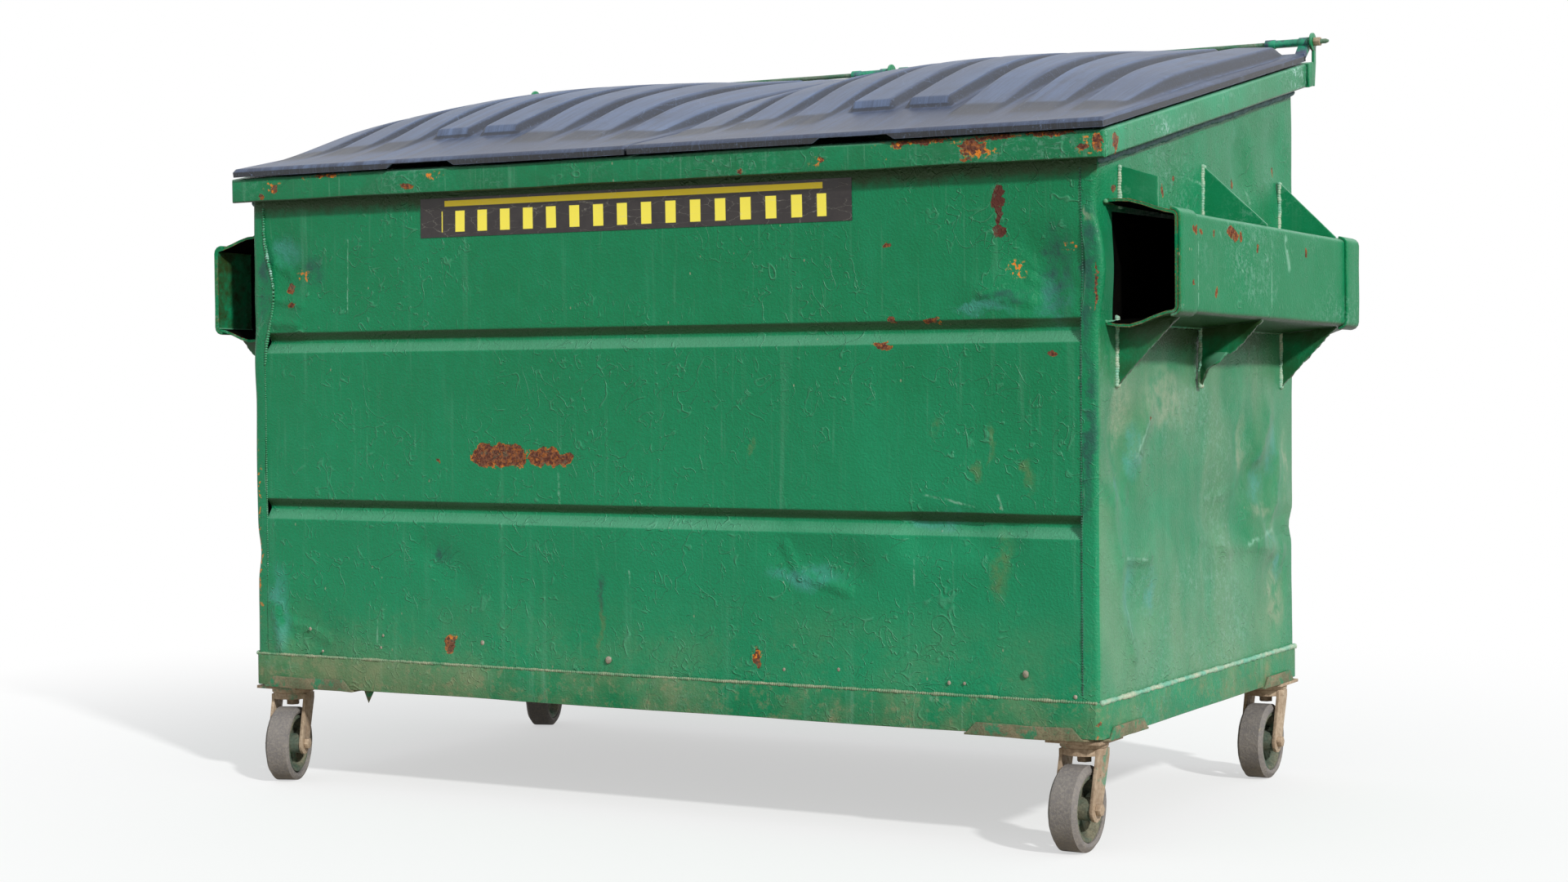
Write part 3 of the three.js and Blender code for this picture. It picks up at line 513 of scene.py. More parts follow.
def spots(tree, place, places):
    """Highest mask of several soft ellipses, each a centre and a size."""
    return most(tree, [use_group(tree, "Spot", {"Place": place, "Centre": centre, "Size": size})["Mask"]
                       for centre, size in places])


def lines(tree, place, places):
    """Highest mask of several soft lines, each a start, an end and a width."""
    return most(tree, [use_group(tree, "Line", {
        "Place": place, "Start": start, "Run": Vector(stop) - Vector(start), "Width": width})["Mask"]
        for start, stop, width in places])


def painted_steel(name, fading=0.3, runs=0.16, wrinkles=1.0, wear=0.5, dirt=0.25, chips=0.7, gloss=0.3,
                  film=0.0, film_top=9.0, scraped=0.0, grime_and_shade=0.0, paler_low=0.0, bump=0.6, mirror=False,
                  films_and_sheen=(), smears=(), grime_and_shade_bands=(), scuffs=(), smudges=(), rusts=(), primers=(), specks=(),
                  scratches=(), folds=(), edge_rusts=()):
    """Green paint on steel, with fading, tan films that are partly dust and partly painted sheen, scuffs,
    lost paint, rust, and olive that is partly dirt and partly painted shade.
    """
    tones = colours()
    material, tree, shader, place = new_material(name)
    shader.inputs["Specular IOR Level"].default_value = gloss
    marked = mirrored(tree, place) if mirror else place
    ragged = warped(tree, marked, 42.0, 0.034)
    soft = warped(tree, marked, 12.0, 0.09)
    height_at = add_node(tree, "SeparateXYZ", {0: soft}).outputs[2]
    paint = use_group(tree, "Faded Paint", {
        "Place": place, "Paint": tones.paint, "Washed": tones.washed, "Chalk": tones.chalk_and_sheen,
        "Fading": fading, "Runs": runs, "Wrinkles": wrinkles})
    colour = paint["Colour"]
    # Paler towards the ground.
    if paler_low:
        colour = blend(tree, times(tree, fall(tree, height_at, 0.3, 1.05), paler_low), colour, tones.washed)
    brushed = rise(tree, grain(tree, place, 24.0, 6.0, 0.7), 0.32, 0.62)
    if film:
        patches = grain(tree, stretched(tree, place, (3.4, 3.4, 2.2)), 1.0, 6.0, 0.62, 0.6)
        wide = rise(tree, patches, 0.36, 0.68)
        wide = times(tree, wide, fall(tree, height_at, film_top - 0.06, film_top + 0.06))
        colour = blend(tree, times(tree, wide, film), colour, tones.tan_film_and_sheen)
    if grime_and_shade:
        murk = rise(tree, grain(tree, place, 13.0, 5.0, 0.65), 0.36, 0.62)
        colour = blend(tree, times(tree, murk, grime_and_shade), colour, tones.olive)
    layers = (
        # Tan patches are partly dust and partly painted sheen where the sheets catch reflections.
        (tones.tan_film_and_sheen, films_and_sheen, 0.85), (tones.smear, smears, 0.6), (tones.olive, grime_and_shade_bands, 0.9),
        (tones.teal, scuffs, 0.55), (tones.slate, smudges, 0.8))
    for tone, places, cover in layers:
        if places:
            firm = places is grime_and_shade_bands
            share = rise(tree, spots(tree, ragged if firm else soft, places), 0.25, 1.15)
            share = share if firm else times(tree, share, brushed)
            colour = blend(tree, times(tree, share, cover), colour, tone)
    if scraped:
        rubs = use_group(tree, "Scrapes", {"Place": place, "Scale": 5.0, "Amount": scraped})["Mask"]
        colour = blend(tree, rubs, colour, tones.scraped)
    if scratches:
        scored = times(tree, lines(tree, warped(tree, marked, 60.0, 0.006), scratches), 0.75)
        broken = rise(tree, grain(tree, place, 60.0, 3.0), 0.36, 0.56)
        colour = blend(tree, times(tree, scored, broken), colour, tones.chalk_and_sheen)
    up = add_node(tree, "SeparateXYZ", {0: add_node(tree, "NewGeometry").outputs["Normal"]}).outputs[2]
    # Faces that look down turn olive: painted shade.
    colour = blend(tree, times(tree, fall(tree, up, -0.7, -0.25), 0.85), colour, tones.olive)
    # Faces that look up turn paler: partly settled dust, partly painted light from the sky.
    colour = blend(tree, times(tree, rise(tree, up, 0.25, 0.7), 0.3), colour, tones.chalk_and_sheen)
    edges = use_group(tree, "Edge Wear", {"Place": place, "Width": 0.004, "Amount": wear})["Mask"]
    rubbed = rise(tree, grain(tree, place, 26.0, 4.0, 0.6), 0.42, 0.6)
    colour = blend(tree, times(tree, edges, rubbed), colour, tones.chalk_and_sheen)
    flaws = scaled(tree, rise(tree, grain(tree, ragged, 6.0, 4.0, 0.6), chips, chips + 0.1), 0.8)
    masks = [scaled(tree, edges, 0.62), flaws]
    if rusts:
        masks.append(spots(tree, ragged, rusts))
    if edge_rusts:
        near = rise(tree, spots(tree, marked, edge_rusts), 0.3, 0.7)
        masks.append(scaled(tree, scaled(tree, edges, near), 3.2))
    rust = use_group(tree, "Rust", {
        "Place": place, "Mask": most(tree, masks), "Old": tones.rust, "Primer": tones.primer,
        "Fresh": tones.fresh_rust, "Fringe": 0.8})
    colour = blend(tree, rust["Cover"], colour, rust["Colour"])
    cover = rust["Cover"]
    if specks:
        dotted = times(tree, rise(tree, spots(tree, ragged, specks), 0.4, 1.0),
                       rise(tree, grain(tree, place, 120.0, 3.0, 0.6), 0.55, 0.59))
        colour = blend(tree, dotted, colour, tones.fresh_rust)
    if primers:
        lost = use_group(tree, "Rust", {
            "Place": place, "Mask": spots(tree, ragged, primers), "Old": tones.primer,
            "Primer": tint("5C3029"), "Fresh": tones.rust, "Fringe": 0.3})
        colour = blend(tree, lost["Cover"], colour, lost["Colour"])
        cover = signed(tree, "MAXIMUM", cover, lost["Cover"])
    dust = use_group(tree, "Dust", {"Place": place, "Amount": dirt, "Low": 0.17, "High": 0.42})["Mask"]
    colour = blend(tree, dust, colour, tones.dust)
    dulled = scaled(tree, signed(tree, "MAXIMUM", cover, dust), 0.4)
    height = signed(tree, "SUBTRACT", signed(tree, "ADD", paint["Height"], rust["Height"]), cover)
    connect(tree, shader, colour, calc(tree, "ADD", paint["Roughness"], dulled), height, bump, 0.0012)
    if folds:
        creased = lines(tree, warped(tree, marked, 10.0, 0.03), folds)
        fold = add_node(tree, "Bump", {
            "Height": rise(tree, creased, 0.0, 1.0), "Strength": 0.7, "Distance": 0.005})
        fine = shader.inputs["Normal"].links[0].from_node
        tree.links.new(fold.outputs[0], fine.inputs["Normal"])
    return material


def plain_worn(name, base, worn, grime_and_shade, scale=20.0, metallic=0.0, roughness=0.6, gloss=0.5, wear=0.4,
               overspray=None, spray=0.5):
    """Plain worn stock: base colour, pale wear, grime, and paint overspray where there is any."""
    material, tree, shader, place = new_material(name)
    shader.inputs["Metallic"].default_value = metallic
    shader.inputs["Specular IOR Level"].default_value = gloss
    wide = rise(tree, grain(tree, place, scale, 5.0, 0.6), 0.35, 0.7)
    fine = rise(tree, grain(tree, place, scale * 9, 4.0, 0.7), 0.4, 0.65)
    colour = blend(tree, times(tree, wide, 0.8), base, worn)
    colour = blend(tree, times(tree, fine, 0.35), colour, grime_and_shade)
    if overspray:
        mist = rise(tree, grain(tree, place, scale * 0.7, 5.0, 0.75, 0.5), spray, spray + 0.1)
        colour = blend(tree, mist, colour, overspray)
    edges = use_group(tree, "Edge Wear", {"Place": place, "Width": 0.0025, "Amount": wear})["Mask"]
    colour = blend(tree, edges, colour, worn)
    rough = signed(tree, "ADD", scaled(tree, fine, 0.2), roughness)
    connect(tree, shader, colour, rough, signed(tree, "ADD", fine, wide), 0.45, 0.0008)
    return material


def lid_plastic(name, base, bleach_and_sheen, edge=0.003):
    """Dark slate plastic, brushed, with rib tops paler from bleaching and a painted sky sheen, painted shade
    on the rib flanks, and green overspray at the hinges.
    """
    tones = colours()
    material, tree, shader, place = new_material(name)
    relief = add_node(tree, "Attribute", attribute_name="Relief").outputs["Fac"]
    along = grain(tree, stretched(tree, place, (60, 2.2, 2.2)), 1.0, 4.0, 0.65)
    hair = grain(tree, stretched(tree, place, (420, 9, 9)), 1.0, 3.0, 0.7)
    wide = grain(tree, place, 3.0, 5.0, 0.6)
    pale = times(tree, rise(tree, along, 0.34, 0.7), rise(tree, wide, 0.3, 0.66))
    # Rib tops paler: partly bleaching, partly painted sky sheen.
    pale = calc(tree, "ADD", scaled(tree, pale, 0.6), scaled(tree, relief, 0.28))
    colour = blend(tree, times(tree, pale, bleach_and_sheen), base, tones.plastic_pale)
    colour = blend(tree, times(tree, rise(tree, hair, 0.54, 0.74), 0.3), colour, tones.plastic_pale)
    colour = blend(tree, times(tree, fall(tree, hair, 0.3, 0.46), 0.35), colour, tones.plastic_dirt_and_shade)
    # Rib flanks darkened: painted shade.
    middle = signed(tree, "SUBTRACT", scaled(tree, relief, 2.0), 1.0)
    flank = rise(tree, signed(tree, "SUBTRACT", 1.0, signed(tree, "ABSOLUTE", middle)), 0.0, 0.5)
    colour = blend(tree, times(tree, flank, 0.78), colour, tones.plastic_dirt_and_shade)
    speckle = rise(tree, grain(tree, place, 240.0, 3.0, 0.7), 0.6, 0.7)
    colour = blend(tree, times(tree, speckle, 0.4), colour, tones.plastic_pale)
    dirt = rise(tree, grain(tree, place, 9.0, 6.0, 0.7), 0.5, 0.72)
    colour = blend(tree, times(tree, dirt, 0.3), colour, tones.plastic_dirt_and_shade)
    scuffs = cracks(tree, stretched(tree, place, (5, 2, 5)), 5.0, 0.01)
    scuffs = times(tree, scuffs, rise(tree, grain(tree, place, 5.0, 2.0), 0.5, 0.62))
    colour = blend(tree, times(tree, scuffs, 0.5), colour, tones.plastic_pale)
    edges = use_group(tree, "Edge Wear", {"Place": place, "Width": edge, "Amount": 0.9})["Mask"]
    colour = blend(tree, edges, colour, tones.plastic_pale)
    axes = add_node(tree, "SeparateXYZ", {0: warped(tree, place, 30.0, 0.03)}).outputs
    mist = rise(tree, axes[1], ROD.y - 0.025, ROD.y - 0.01)
    mist = times(tree, mist, rise(tree, grain(tree, place, 60.0, 4.0, 0.7), 0.34, 0.56))
    colour = blend(tree, times(tree, mist, 0.9), colour, tones.washed)
    rough = signed(tree, "ADD", scaled(tree, pale, 0.15), 0.4)
    height = signed(tree, "ADD", scaled(tree, hair, 0.6), scaled(tree, scuffs, -0.5))
    connect(tree, shader, colour, rough, height, 0.35, 0.0006)
    return material


def marker_material():
    """Black strip with a plain yellow line over a row of plain upright bars."""
    tones = colours()
    material, tree, shader, place = new_material("Level marker")
    axes = add_node(tree, "SeparateXYZ", {0: place}).outputs
    phase = signed(tree, "FRACT", scaled(tree, axes[0], 19.0))
    bar = times(tree, rise(tree, phase, 0.28, 0.3), fall(tree, phase, 0.7, 0.72))
    low, high = 1.088, 1.128
    inside = times(tree, rise(tree, axes[2], low, low + 0.001), fall(tree, axes[2], high, high + 0.001))
    reach = signed(tree, "ABSOLUTE", signed(tree, "ADD", axes[0], 0.018))
    bars = times(tree, times(tree, bar, inside), fall(tree, reach, 0.42, 0.421))
    level = times(tree, rise(tree, axes[2], 1.137, 1.138), fall(tree, axes[2], 1.148, 1.149))
    level = times(tree, level, fall(tree, reach, 0.413, 0.414))
    worn = rise(tree, grain(tree, place, 30.0, 5.0, 0.7), 0.3, 0.7)
    colour = blend(tree, times(tree, worn, 0.15), tones.marker_black, (0.12, 0.11, 0.1))
    colour = blend(tree, bars, colour, tones.marker_pale)
    colour = blend(tree, level, colour, tones.marker_yellow)
    scuffs = times(tree, cracks(tree, stretched(tree, place, (2, 2, 7)), 7.0, 0.012), worn)
    colour = blend(tree, times(tree, scuffs, 0.35), colour, (0.6, 0.58, 0.5))
    rough = signed(tree, "ADD", scaled(tree, worn, 0.2), 0.35)
    connect(tree, shader, colour, rough, worn, 0.15, 0.0004)
    return material


def on_front(*places):
    """Marks on the front sheet, given by place across, height, and half sizes."""
    return [((x, FRONT, z), (wide, 0.1, tall)) for x, z, wide, tall in places]


def on_rim(*places):
    """Marks on the front rim, given by place across, height, and half sizes."""
    return [((x, RIM_FRONT, z), (wide, 0.02, tall)) for x, z, wide, tall in places]


def on_side(*places):
    """Marks on the side sheets, given by place from the front, height, and half sizes."""
    return [((WALL_X, FRONT + away, z), (0.03, deep, tall)) for away, z, deep, tall in places]


def on_pocket(*places):
    """Marks on the outer plates of the pockets."""
    return [((POCKET_X, FRONT + away, z), (0.02, deep, tall)) for away, z, deep, tall in places]


def front_scratches(*places):
    """Scratches and runs on the front sheet, each from one place to another, with a width."""
    return [((x0, FRONT, z0), (x1, FRONT, z1), width) for x0, z0, x1, z1, width in places]


def side_lines(*places):
    """Lines on the side sheets, between places from the front and heights, with a width."""
    return [((WALL_X, FRONT + y0, z0), (WALL_X, FRONT + y1, z1), width)
            for y0, z0, y1, z1, width in places]


def wall_paints():
    """Finishes of the four sheets, with their own marks."""
    painted_steel(
        "Front paint", fading=0.2, runs=0.15, chips=0.78, gloss=0.22, dirt=0.3, paler_low=0.22, bump=0.7,
        smears=on_front((0.602, 0.722, 0.012, 0.026), (0.687, 0.644, 0.01, 0.026),
                        (0.711, 0.683, 0.007, 0.03), (0.784, 0.635, 0.012, 0.026), (0.739, 0.476, 0.02, 0.06),
                        (0.242, 0.674, 0.009, 0.012), (-0.083, 0.35, 0.008, 0.07)),
        # Olive band under the rim: partly dirt, partly painted shade.
        grime_and_shade_bands=on_front((0.0, 1.16, 2.0, 0.026)),
        scuffs=on_front((-0.83, 1.06, 0.04, 0.04), (-0.85, 0.34, 0.025, 0.1), (0.7, 0.92, 0.07, 0.012),
                        (0.84, 0.93, 0.03, 0.05), (0.35, 0.45, 0.08, 0.025), (0.62, 0.56, 0.09, 0.015)),
        smudges=on_front((-0.76, 1.015, 0.04, 0.035), (0.84, 0.98, 0.03, 0.08), (0.75, 0.94, 0.05, 0.012),
                         (-0.44, 0.46, 0.02, 0.03), (-0.083, 0.4, 0.01, 0.04), (0.902, 0.98, 0.016, 0.13),
                         (0.9, 0.7, 0.012, 0.16), (-0.884, 1.0, 0.016, 0.08)),
        rusts=on_front((-0.345, 0.66, 0.03, 0.022), (-0.312, 0.661, 0.032, 0.024),
                       (-0.28, 0.661, 0.03, 0.022), (-0.222, 0.659, 0.03, 0.018),
                       (-0.192, 0.657, 0.03, 0.016), (-0.165, 0.655, 0.022, 0.013),
                       (-0.431, 0.294, 0.013, 0.02), (0.254, 0.3, 0.008, 0.02), (0.512, 0.859, 0.02, 0.007),
                       (0.836, 0.844, 0.009, 0.005), (0.52, 1.034, 0.009, 0.006), (0.53, 0.903, 0.008, 0.006),
                       (0.606, 0.902, 0.017, 0.006), (-0.818, 0.989, 0.01, 0.012),
                       (-0.815, 0.955, 0.01, 0.005), (-0.455, 0.648, 0.004, 0.004),
                       (0.912, 0.95, 0.002, 0.04)),
        films_and_sheen=on_front((0.893, 1.071, 0.006, 0.018)),
        primers=on_front((0.734, 1.108, 0.011, 0.022), (0.733, 1.078, 0.006, 0.016),
                         (0.735, 1.052, 0.011, 0.012)),
        specks=on_front((0.762, 0.985, 0.02, 0.02), (-0.782, 1.012, 0.025, 0.012),
                        (-0.431, 0.31, 0.024, 0.01), (0.254, 0.31, 0.014, 0.01), (0.862, 1.02, 0.016, 0.01),
                        (-0.904, 0.5, 0.004, 0.2)),
        scratches=front_scratches(
            (-0.669, 1.081, -0.672, 0.934, 0.002), (-0.608, 0.344, -0.609, 0.292, 0.003),
            (0.57, 0.495, 0.568, 0.285, 0.0025), (0.015, 0.4, 0.021, 0.352, 0.003),
            (-0.176, 0.628, -0.171, 0.536, 0.004), (-0.019, 0.449, -0.019, 0.38, 0.003),
            (0.59, 0.6, 0.64, 0.592, 0.003), (0.64, 0.592, 0.685, 0.58, 0.003),
            (0.73, 0.602, 0.738, 0.578, 0.003)),
        folds=front_scratches(
            (0.77, 1.03, 0.865, 0.925, 0.03), (0.7, 0.945, 0.79, 0.93, 0.02),
            (0.79, 0.975, 0.83, 0.955, 0.02), (-0.87, 0.925, -0.8, 0.915, 0.016),
            (-0.86, 0.97, -0.79, 0.955, 0.016), (-0.86, 1.04, -0.82, 1.02, 0.02),
            (0.311, 0.505, 0.346, 0.448, 0.02), (0.346, 0.448, 0.441, 0.431, 0.018),
            (0.56, 0.548, 0.68, 0.552, 0.016), (0.68, 0.552, 0.76, 0.545, 0.016),
            (-0.865, 0.34, -0.85, 0.27, 0.02), (-0.82, 0.32, -0.74, 0.29, 0.02)))
    painted_steel("Rear paint", fading=0.5, runs=0.3, chips=0.68, gloss=0.3, film=0.3, scraped=0.12)
    painted_steel(
        "Side paint", fading=0.45, runs=0.1, wrinkles=0.7, wear=0.6, dirt=0.25, chips=0.8, gloss=0.3,
        film=0.42, film_top=0.86, scraped=0.16, grime_and_shade=0.1, bump=0.8, mirror=True,
        # Tan patches on the side stand in for reflection blotches: painted sheen.
        films_and_sheen=on_side((0.112, 0.74, 0.05, 0.06), (0.3, 0.76, 0.12, 0.06), (0.72, 0.66, 0.03, 0.07),
                      (0.82, 0.54, 0.05, 0.02), (0.95, 0.62, 0.015, 0.08), (0.9, 0.36, 0.05, 0.06)),
        # Olive band under the pockets: painted shadow of the pockets.
        grime_and_shade_bands=on_side((0.5, 0.875, 0.48, 0.035)),
        scuffs=on_side((0.17, 0.67, 0.03, 0.05), (0.14, 0.43, 0.05, 0.06), (0.24, 0.42, 0.03, 0.05),
                       (0.81, 0.6, 0.04, 0.05), (0.87, 0.66, 0.03, 0.05), (0.847, 0.48, 0.05, 0.015),
                       (0.07, 0.61, 0.02, 0.02), (0.922, 0.42, 0.02, 0.03)),
        rusts=on_side((0.23, 0.725, 0.004, 0.004), (0.3, 1.13, 0.008, 0.011), (0.66, 1.16, 0.007, 0.014),
                      (0.36, 1.15, 0.005, 0.006), (0.9, 1.2, 0.006, 0.012), (0.075, 1.12, 0.01, 0.006)),
        scratches=side_lines((0.108, 0.48, 0.153, 0.32, 0.005), (0.235, 0.735, 0.15, 0.63, 0.005),
                             (0.11, 0.492, 0.22, 0.483, 0.004), (0.75, 0.478, 0.9, 0.5, 0.007),
                             (0.78, 0.6, 0.86, 0.61, 0.005), (0.7, 1.23, 0.76, 1.13, 0.007),
                             (0.42, 1.16, 0.5, 1.15, 0.004), (0.16, 1.1, 0.24, 1.12, 0.004)),
        folds=side_lines((0.235, 0.74, 0.145, 0.628, 0.025), (0.145, 0.628, 0.12, 0.6, 0.02),
                         (0.072, 0.633, 0.05, 0.59, 0.02), (0.05, 0.59, 0.082, 0.505, 0.02),
                         (0.086, 0.485, 0.108, 0.401, 0.022), (0.108, 0.401, 0.153, 0.319, 0.022),
                         (0.11, 0.492, 0.225, 0.483, 0.02), (0.486, 0.505, 0.62, 0.478, 0.02),
                         (0.62, 0.478, 0.774, 0.475, 0.02), (0.7, 0.552, 0.775, 0.606, 0.02),
                         (0.775, 0.606, 0.85, 0.721, 0.022), (0.877, 0.504, 0.976, 0.503, 0.024),
                         (0.909, 0.641, 0.877, 0.504, 0.02), (0.8, 0.47, 0.87, 0.46, 0.02),
                         (0.95, 0.46, 0.93, 0.38, 0.02), (0.55, 0.57, 0.68, 0.59, 0.02)))
    painted_steel("Inner paint", fading=0.6, runs=0.4, wear=0.4, dirt=1.0, chips=0.6, gloss=0.2, film=0.8)


def make_materials():
    """All finishes of the container, by name."""
    tones = colours()
    wall_paints()
    painted_steel(
        "Skirt paint", fading=0.3, runs=0.3, wear=0.6, dirt=0.75, chips=0.72, gloss=0.14, scraped=0.1,
        grime_and_shade=0.16,
        rusts=[((side * SKIRT_X, SKIRT_FRONT, 0.225), (0.007, 0.007, 0.035)) for side in SIDES.values()],
        scratches=[((0.605, SKIRT_FRONT, 0.249), (0.612, SKIRT_FRONT, 0.248), 0.007),
                   ((0.628, SKIRT_FRONT, 0.247), (0.634, SKIRT_FRONT, 0.246), 0.006)])
    painted_steel(
        "Rim paint", fading=0.15, runs=0.35, wear=0.6, dirt=0.0, chips=0.74, gloss=0.25, scraped=0.15,
        grime_and_shade=0.2,
        rusts=on_rim((0.705, 1.187, 0.024, 0.011), (0.7, 1.197, 0.03, 0.006), (0.93, 1.19, 0.009, 0.018),
                     (0.9, 1.182, 0.012, 0.006), (0.84, 1.208, 0.05, 0.005), (0.74, 1.208, 0.04, 0.005),
                     (0.41, 1.182, 0.009, 0.007), (0.6, 1.207, 0.06, 0.005), (-0.5, 1.178, 0.018, 0.007),
                     (-0.7, 1.208, 0.03, 0.003), (-0.83, 1.19, 0.008, 0.009), (-0.86, 1.172, 0.008, 0.004),
                     (0.245, 1.17, 0.006, 0.004), (0.69, 1.17, 0.009, 0.004)),
        specks=on_rim((-0.84, 1.195, 0.03, 0.012), (-0.44, 1.198, 0.03, 0.01), (0.91, 1.186, 0.02, 0.02),
                      (0.6, 1.206, 0.1, 0.005), (0.82, 1.208, 0.1, 0.004), (0.715, 1.182, 0.034, 0.012),
                      (0.4, 1.18, 0.02, 0.01), (0.54, 1.183, 0.004, 0.005), (-0.7, 1.206, 0.08, 0.003)))
    painted_steel("Side rim paint", fading=0.8, runs=0.2, wear=0.7, dirt=0.0, chips=0.8, gloss=0.5,
                  scraped=0.75, mirror=True, rusts=[((RIM_X, FRONT + 0.01, 1.19), (0.01, 0.012, 0.016))])
    mouths = [((WALL_X + 0.064, end, 0.99), (0.2, 0.012, 0.3)) for end in (POCKET_FRONT, POCKET_REAR)]
    painted_steel(
        "Pocket paint", fading=0.0, runs=0.1, wear=0.45, dirt=0.0, chips=0.8, gloss=0.08, scraped=0.2,
        mirror=True, edge_rusts=mouths, rusts=on_pocket(
            (0.102, 1.046, 0.012, 0.008), (0.146, 1.046, 0.01, 0.006), (0.208, 1.044, 0.004, 0.006),
            (0.3, 1.052, 0.02, 0.008), (0.322, 1.046, 0.01, 0.01), (0.348, 1.044, 0.008, 0.008),
            (0.43, 1.031, 0.006, 0.009), (0.098, 0.96, 0.004, 0.005), (0.226, 0.944, 0.006, 0.013),
            (0.709, 1.03, 0.006, 0.008)),
        scratches=[((POCKET_X, FRONT + away, 1.05), (POCKET_X, FRONT + away + lean, low), width)
                   for away, lean, low, width in (
                       (0.132, 0.0, 0.92, 0.003), (0.507, 0.0, 0.92, 0.003), (0.585, 0.02, 1.0, 0.012),
                       (0.24, 0.12, 0.985, 0.004))])
    painted_steel("Gusset paint", fading=0.15, runs=0.1, wrinkles=0.3, wear=0.6, dirt=0.0, chips=0.8,
                  gloss=0.35, scraped=0.25, bump=0.2)
    # Olive over the lower gussets, heaviest near the pocket: painted shadow of the pocket.
    painted_steel("Shaded lower gusset paint", fading=0.1, runs=0.1, wrinkles=0.3, wear=0.5, dirt=0.0, chips=0.76,
                  gloss=0.3, grime_and_shade=0.6, bump=0.25, mirror=True,
                  grime_and_shade_bands=[((WALL_X + 0.06, 0, 0.9), (0.2, 1.2, 0.045))])
    # Heavy olive over the pocket lining near the mouth: painted shade inside the pocket.
    painted_steel("Pocket lining", fading=0.2, wrinkles=0.2, wear=0.3, dirt=0.0, chips=0.72, gloss=0.2,
                  grime_and_shade=1.0)
    painted_steel("Weld paint", fading=1.0, runs=0.6, wrinkles=0.3, wear=0.0, dirt=0.5, chips=0.66, film=0.4,
                  scraped=0.8)
    plain_worn("Pad steel", tint("5E6B4E"), tint("8F8266"), tint("54342A"), scale=30, roughness=0.7, wear=0.9,
               overspray=tint("2F7A54"), spray=0.52)
    plain_worn("Stud steel", tint("8A7F6E"), tint("C0AFA0"), tint("4F7A62"), scale=90, roughness=0.6)
    plain_worn("Seam grime", tint("1F4A3C"), tint("3C7A64"), tint("27201A"), scale=60, roughness=0.6)
    plain_worn("Skirt bead", tint("5C8A66"), tint("A9A388"), tint("2E6A4E"), scale=26, roughness=0.6)
    plain_worn("Side bead", tint("6FB39A"), tint("C9C4AC"), tint("3F8A66"), scale=30, roughness=0.55)
    # Near black for the insides of the pockets: painted shade.
    plain_worn("Painted pocket shade", tint("0A0A09"), tint("100E0B"), tint("060605"), roughness=0.9, gloss=0.0)
    plain_worn("Sealant", tones.sealant, tint("2C4348"), tint("8FABAC"), scale=60, roughness=0.6)
    plain_worn("Caster steel", tones.steel, tint("C0AD94"), tint("6B513C"), scale=14, metallic=0.1,
               roughness=0.6, overspray=tint("5F8A6E"), spray=0.58)
    plain_worn("Caster core", tint("47584A"), tint("857C64"), tint("24241E"), scale=22, roughness=0.7,
               overspray=tint("2F6A4C"), spray=0.56)
    plain_worn("Tyre rubber", tones.rubber, tint("7F7974"), tint("A39C90"), scale=22, roughness=0.8,
               wear=0.15, overspray=tint("9A8F78"), spray=0.64)
    plain_worn("Rod steel", tint("2F7354"), tint("7B8B78"), tint("5A4632"), scale=22, metallic=0.2,
               roughness=0.5)
    lid_plastic("Lid plastic", tones.plastic, 0.75)
    # Darker copy of the lid plastic for the lip faces: painted shade.
    lid_plastic("Shaded lid lip", tint("1B1D22"), 0.1, 0.0014)
    marker_material()


def dress(piece, *names):
    """Gives an object its finishes in order."""
    piece.data.materials.clear()
    for name in names:
        piece.data.materials.append(bpy.data.materials[name])


# Mesh helpers

def only(piece):
    """Makes one object the only selected and active one."""
    bpy.ops.object.select_all(action="DESELECT")
    piece.select_set(True)
    bpy.context.view_layer.objects.active = piece


def bake(piece):
    """Bakes an object's place, turn and size into its mesh."""
    only(piece)
    bpy.ops.object.transform_apply(location=True, rotation=True, scale=True)


def join(pieces, name):
    """Joins objects into the first of them and names it."""
    bpy.ops.object.select_all(action="DESELECT")
    for piece in pieces:
        piece.select_set(True)
    bpy.context.view_layer.objects.active = pieces[0]
    if len(pieces) > 1:
        bpy.ops.object.join()
    pieces[0].name = name
    return pieces[0]


def body_of(node):
    """Name of the body that a CAD node belongs to."""
    return frame["nodes"][node]["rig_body"]


def settle(piece, body):
    """Bakes an object's place into its mesh and lets it ride on a body."""
    piece.data.transform(piece.matrix_world)
    piece.matrix_world = Matrix.Identity(4)
    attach(piece, body)


def copy_node(node, name):
    """Merged copy of a CAD node that stands for it, with its flat faces whole again."""
    piece = bpy.data.objects.new(name, frame["nodes"][node].data.copy())
    bpy.context.scene.collection.objects.link(piece)
    only(piece)
    bpy.ops.object.mode_set(mode="EDIT")
    bpy.ops.mesh.select_all(action="SELECT")
    bpy.ops.mesh.remove_doubles(threshold=MERGE_GAP)
    bpy.ops.mesh.dissolve_limited(angle_limit=FLAT_ANGLE)
    bpy.ops.object.mode_set(mode="OBJECT")
    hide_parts(node)
    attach(piece, body_of(node))
    return piece


def slice_piece(piece, axis, start, stop, step):
    """Cuts a mesh across at even steps along one axis, so that it can bend there."""
    only(piece)
    bpy.ops.object.mode_set(mode="EDIT")
    count = max(1, round((stop - start) / step))
    normal = [0, 0, 0]
    normal[axis] = 1
    for i in range(1, count):
        centre = [0, 0, 0]
        centre[axis] = start + (stop - start) * i / count
        bpy.ops.mesh.select_all(action="SELECT")
        bpy.ops.mesh.bisect(plane_co=centre, plane_no=normal)
    bpy.ops.object.mode_set(mode="OBJECT")


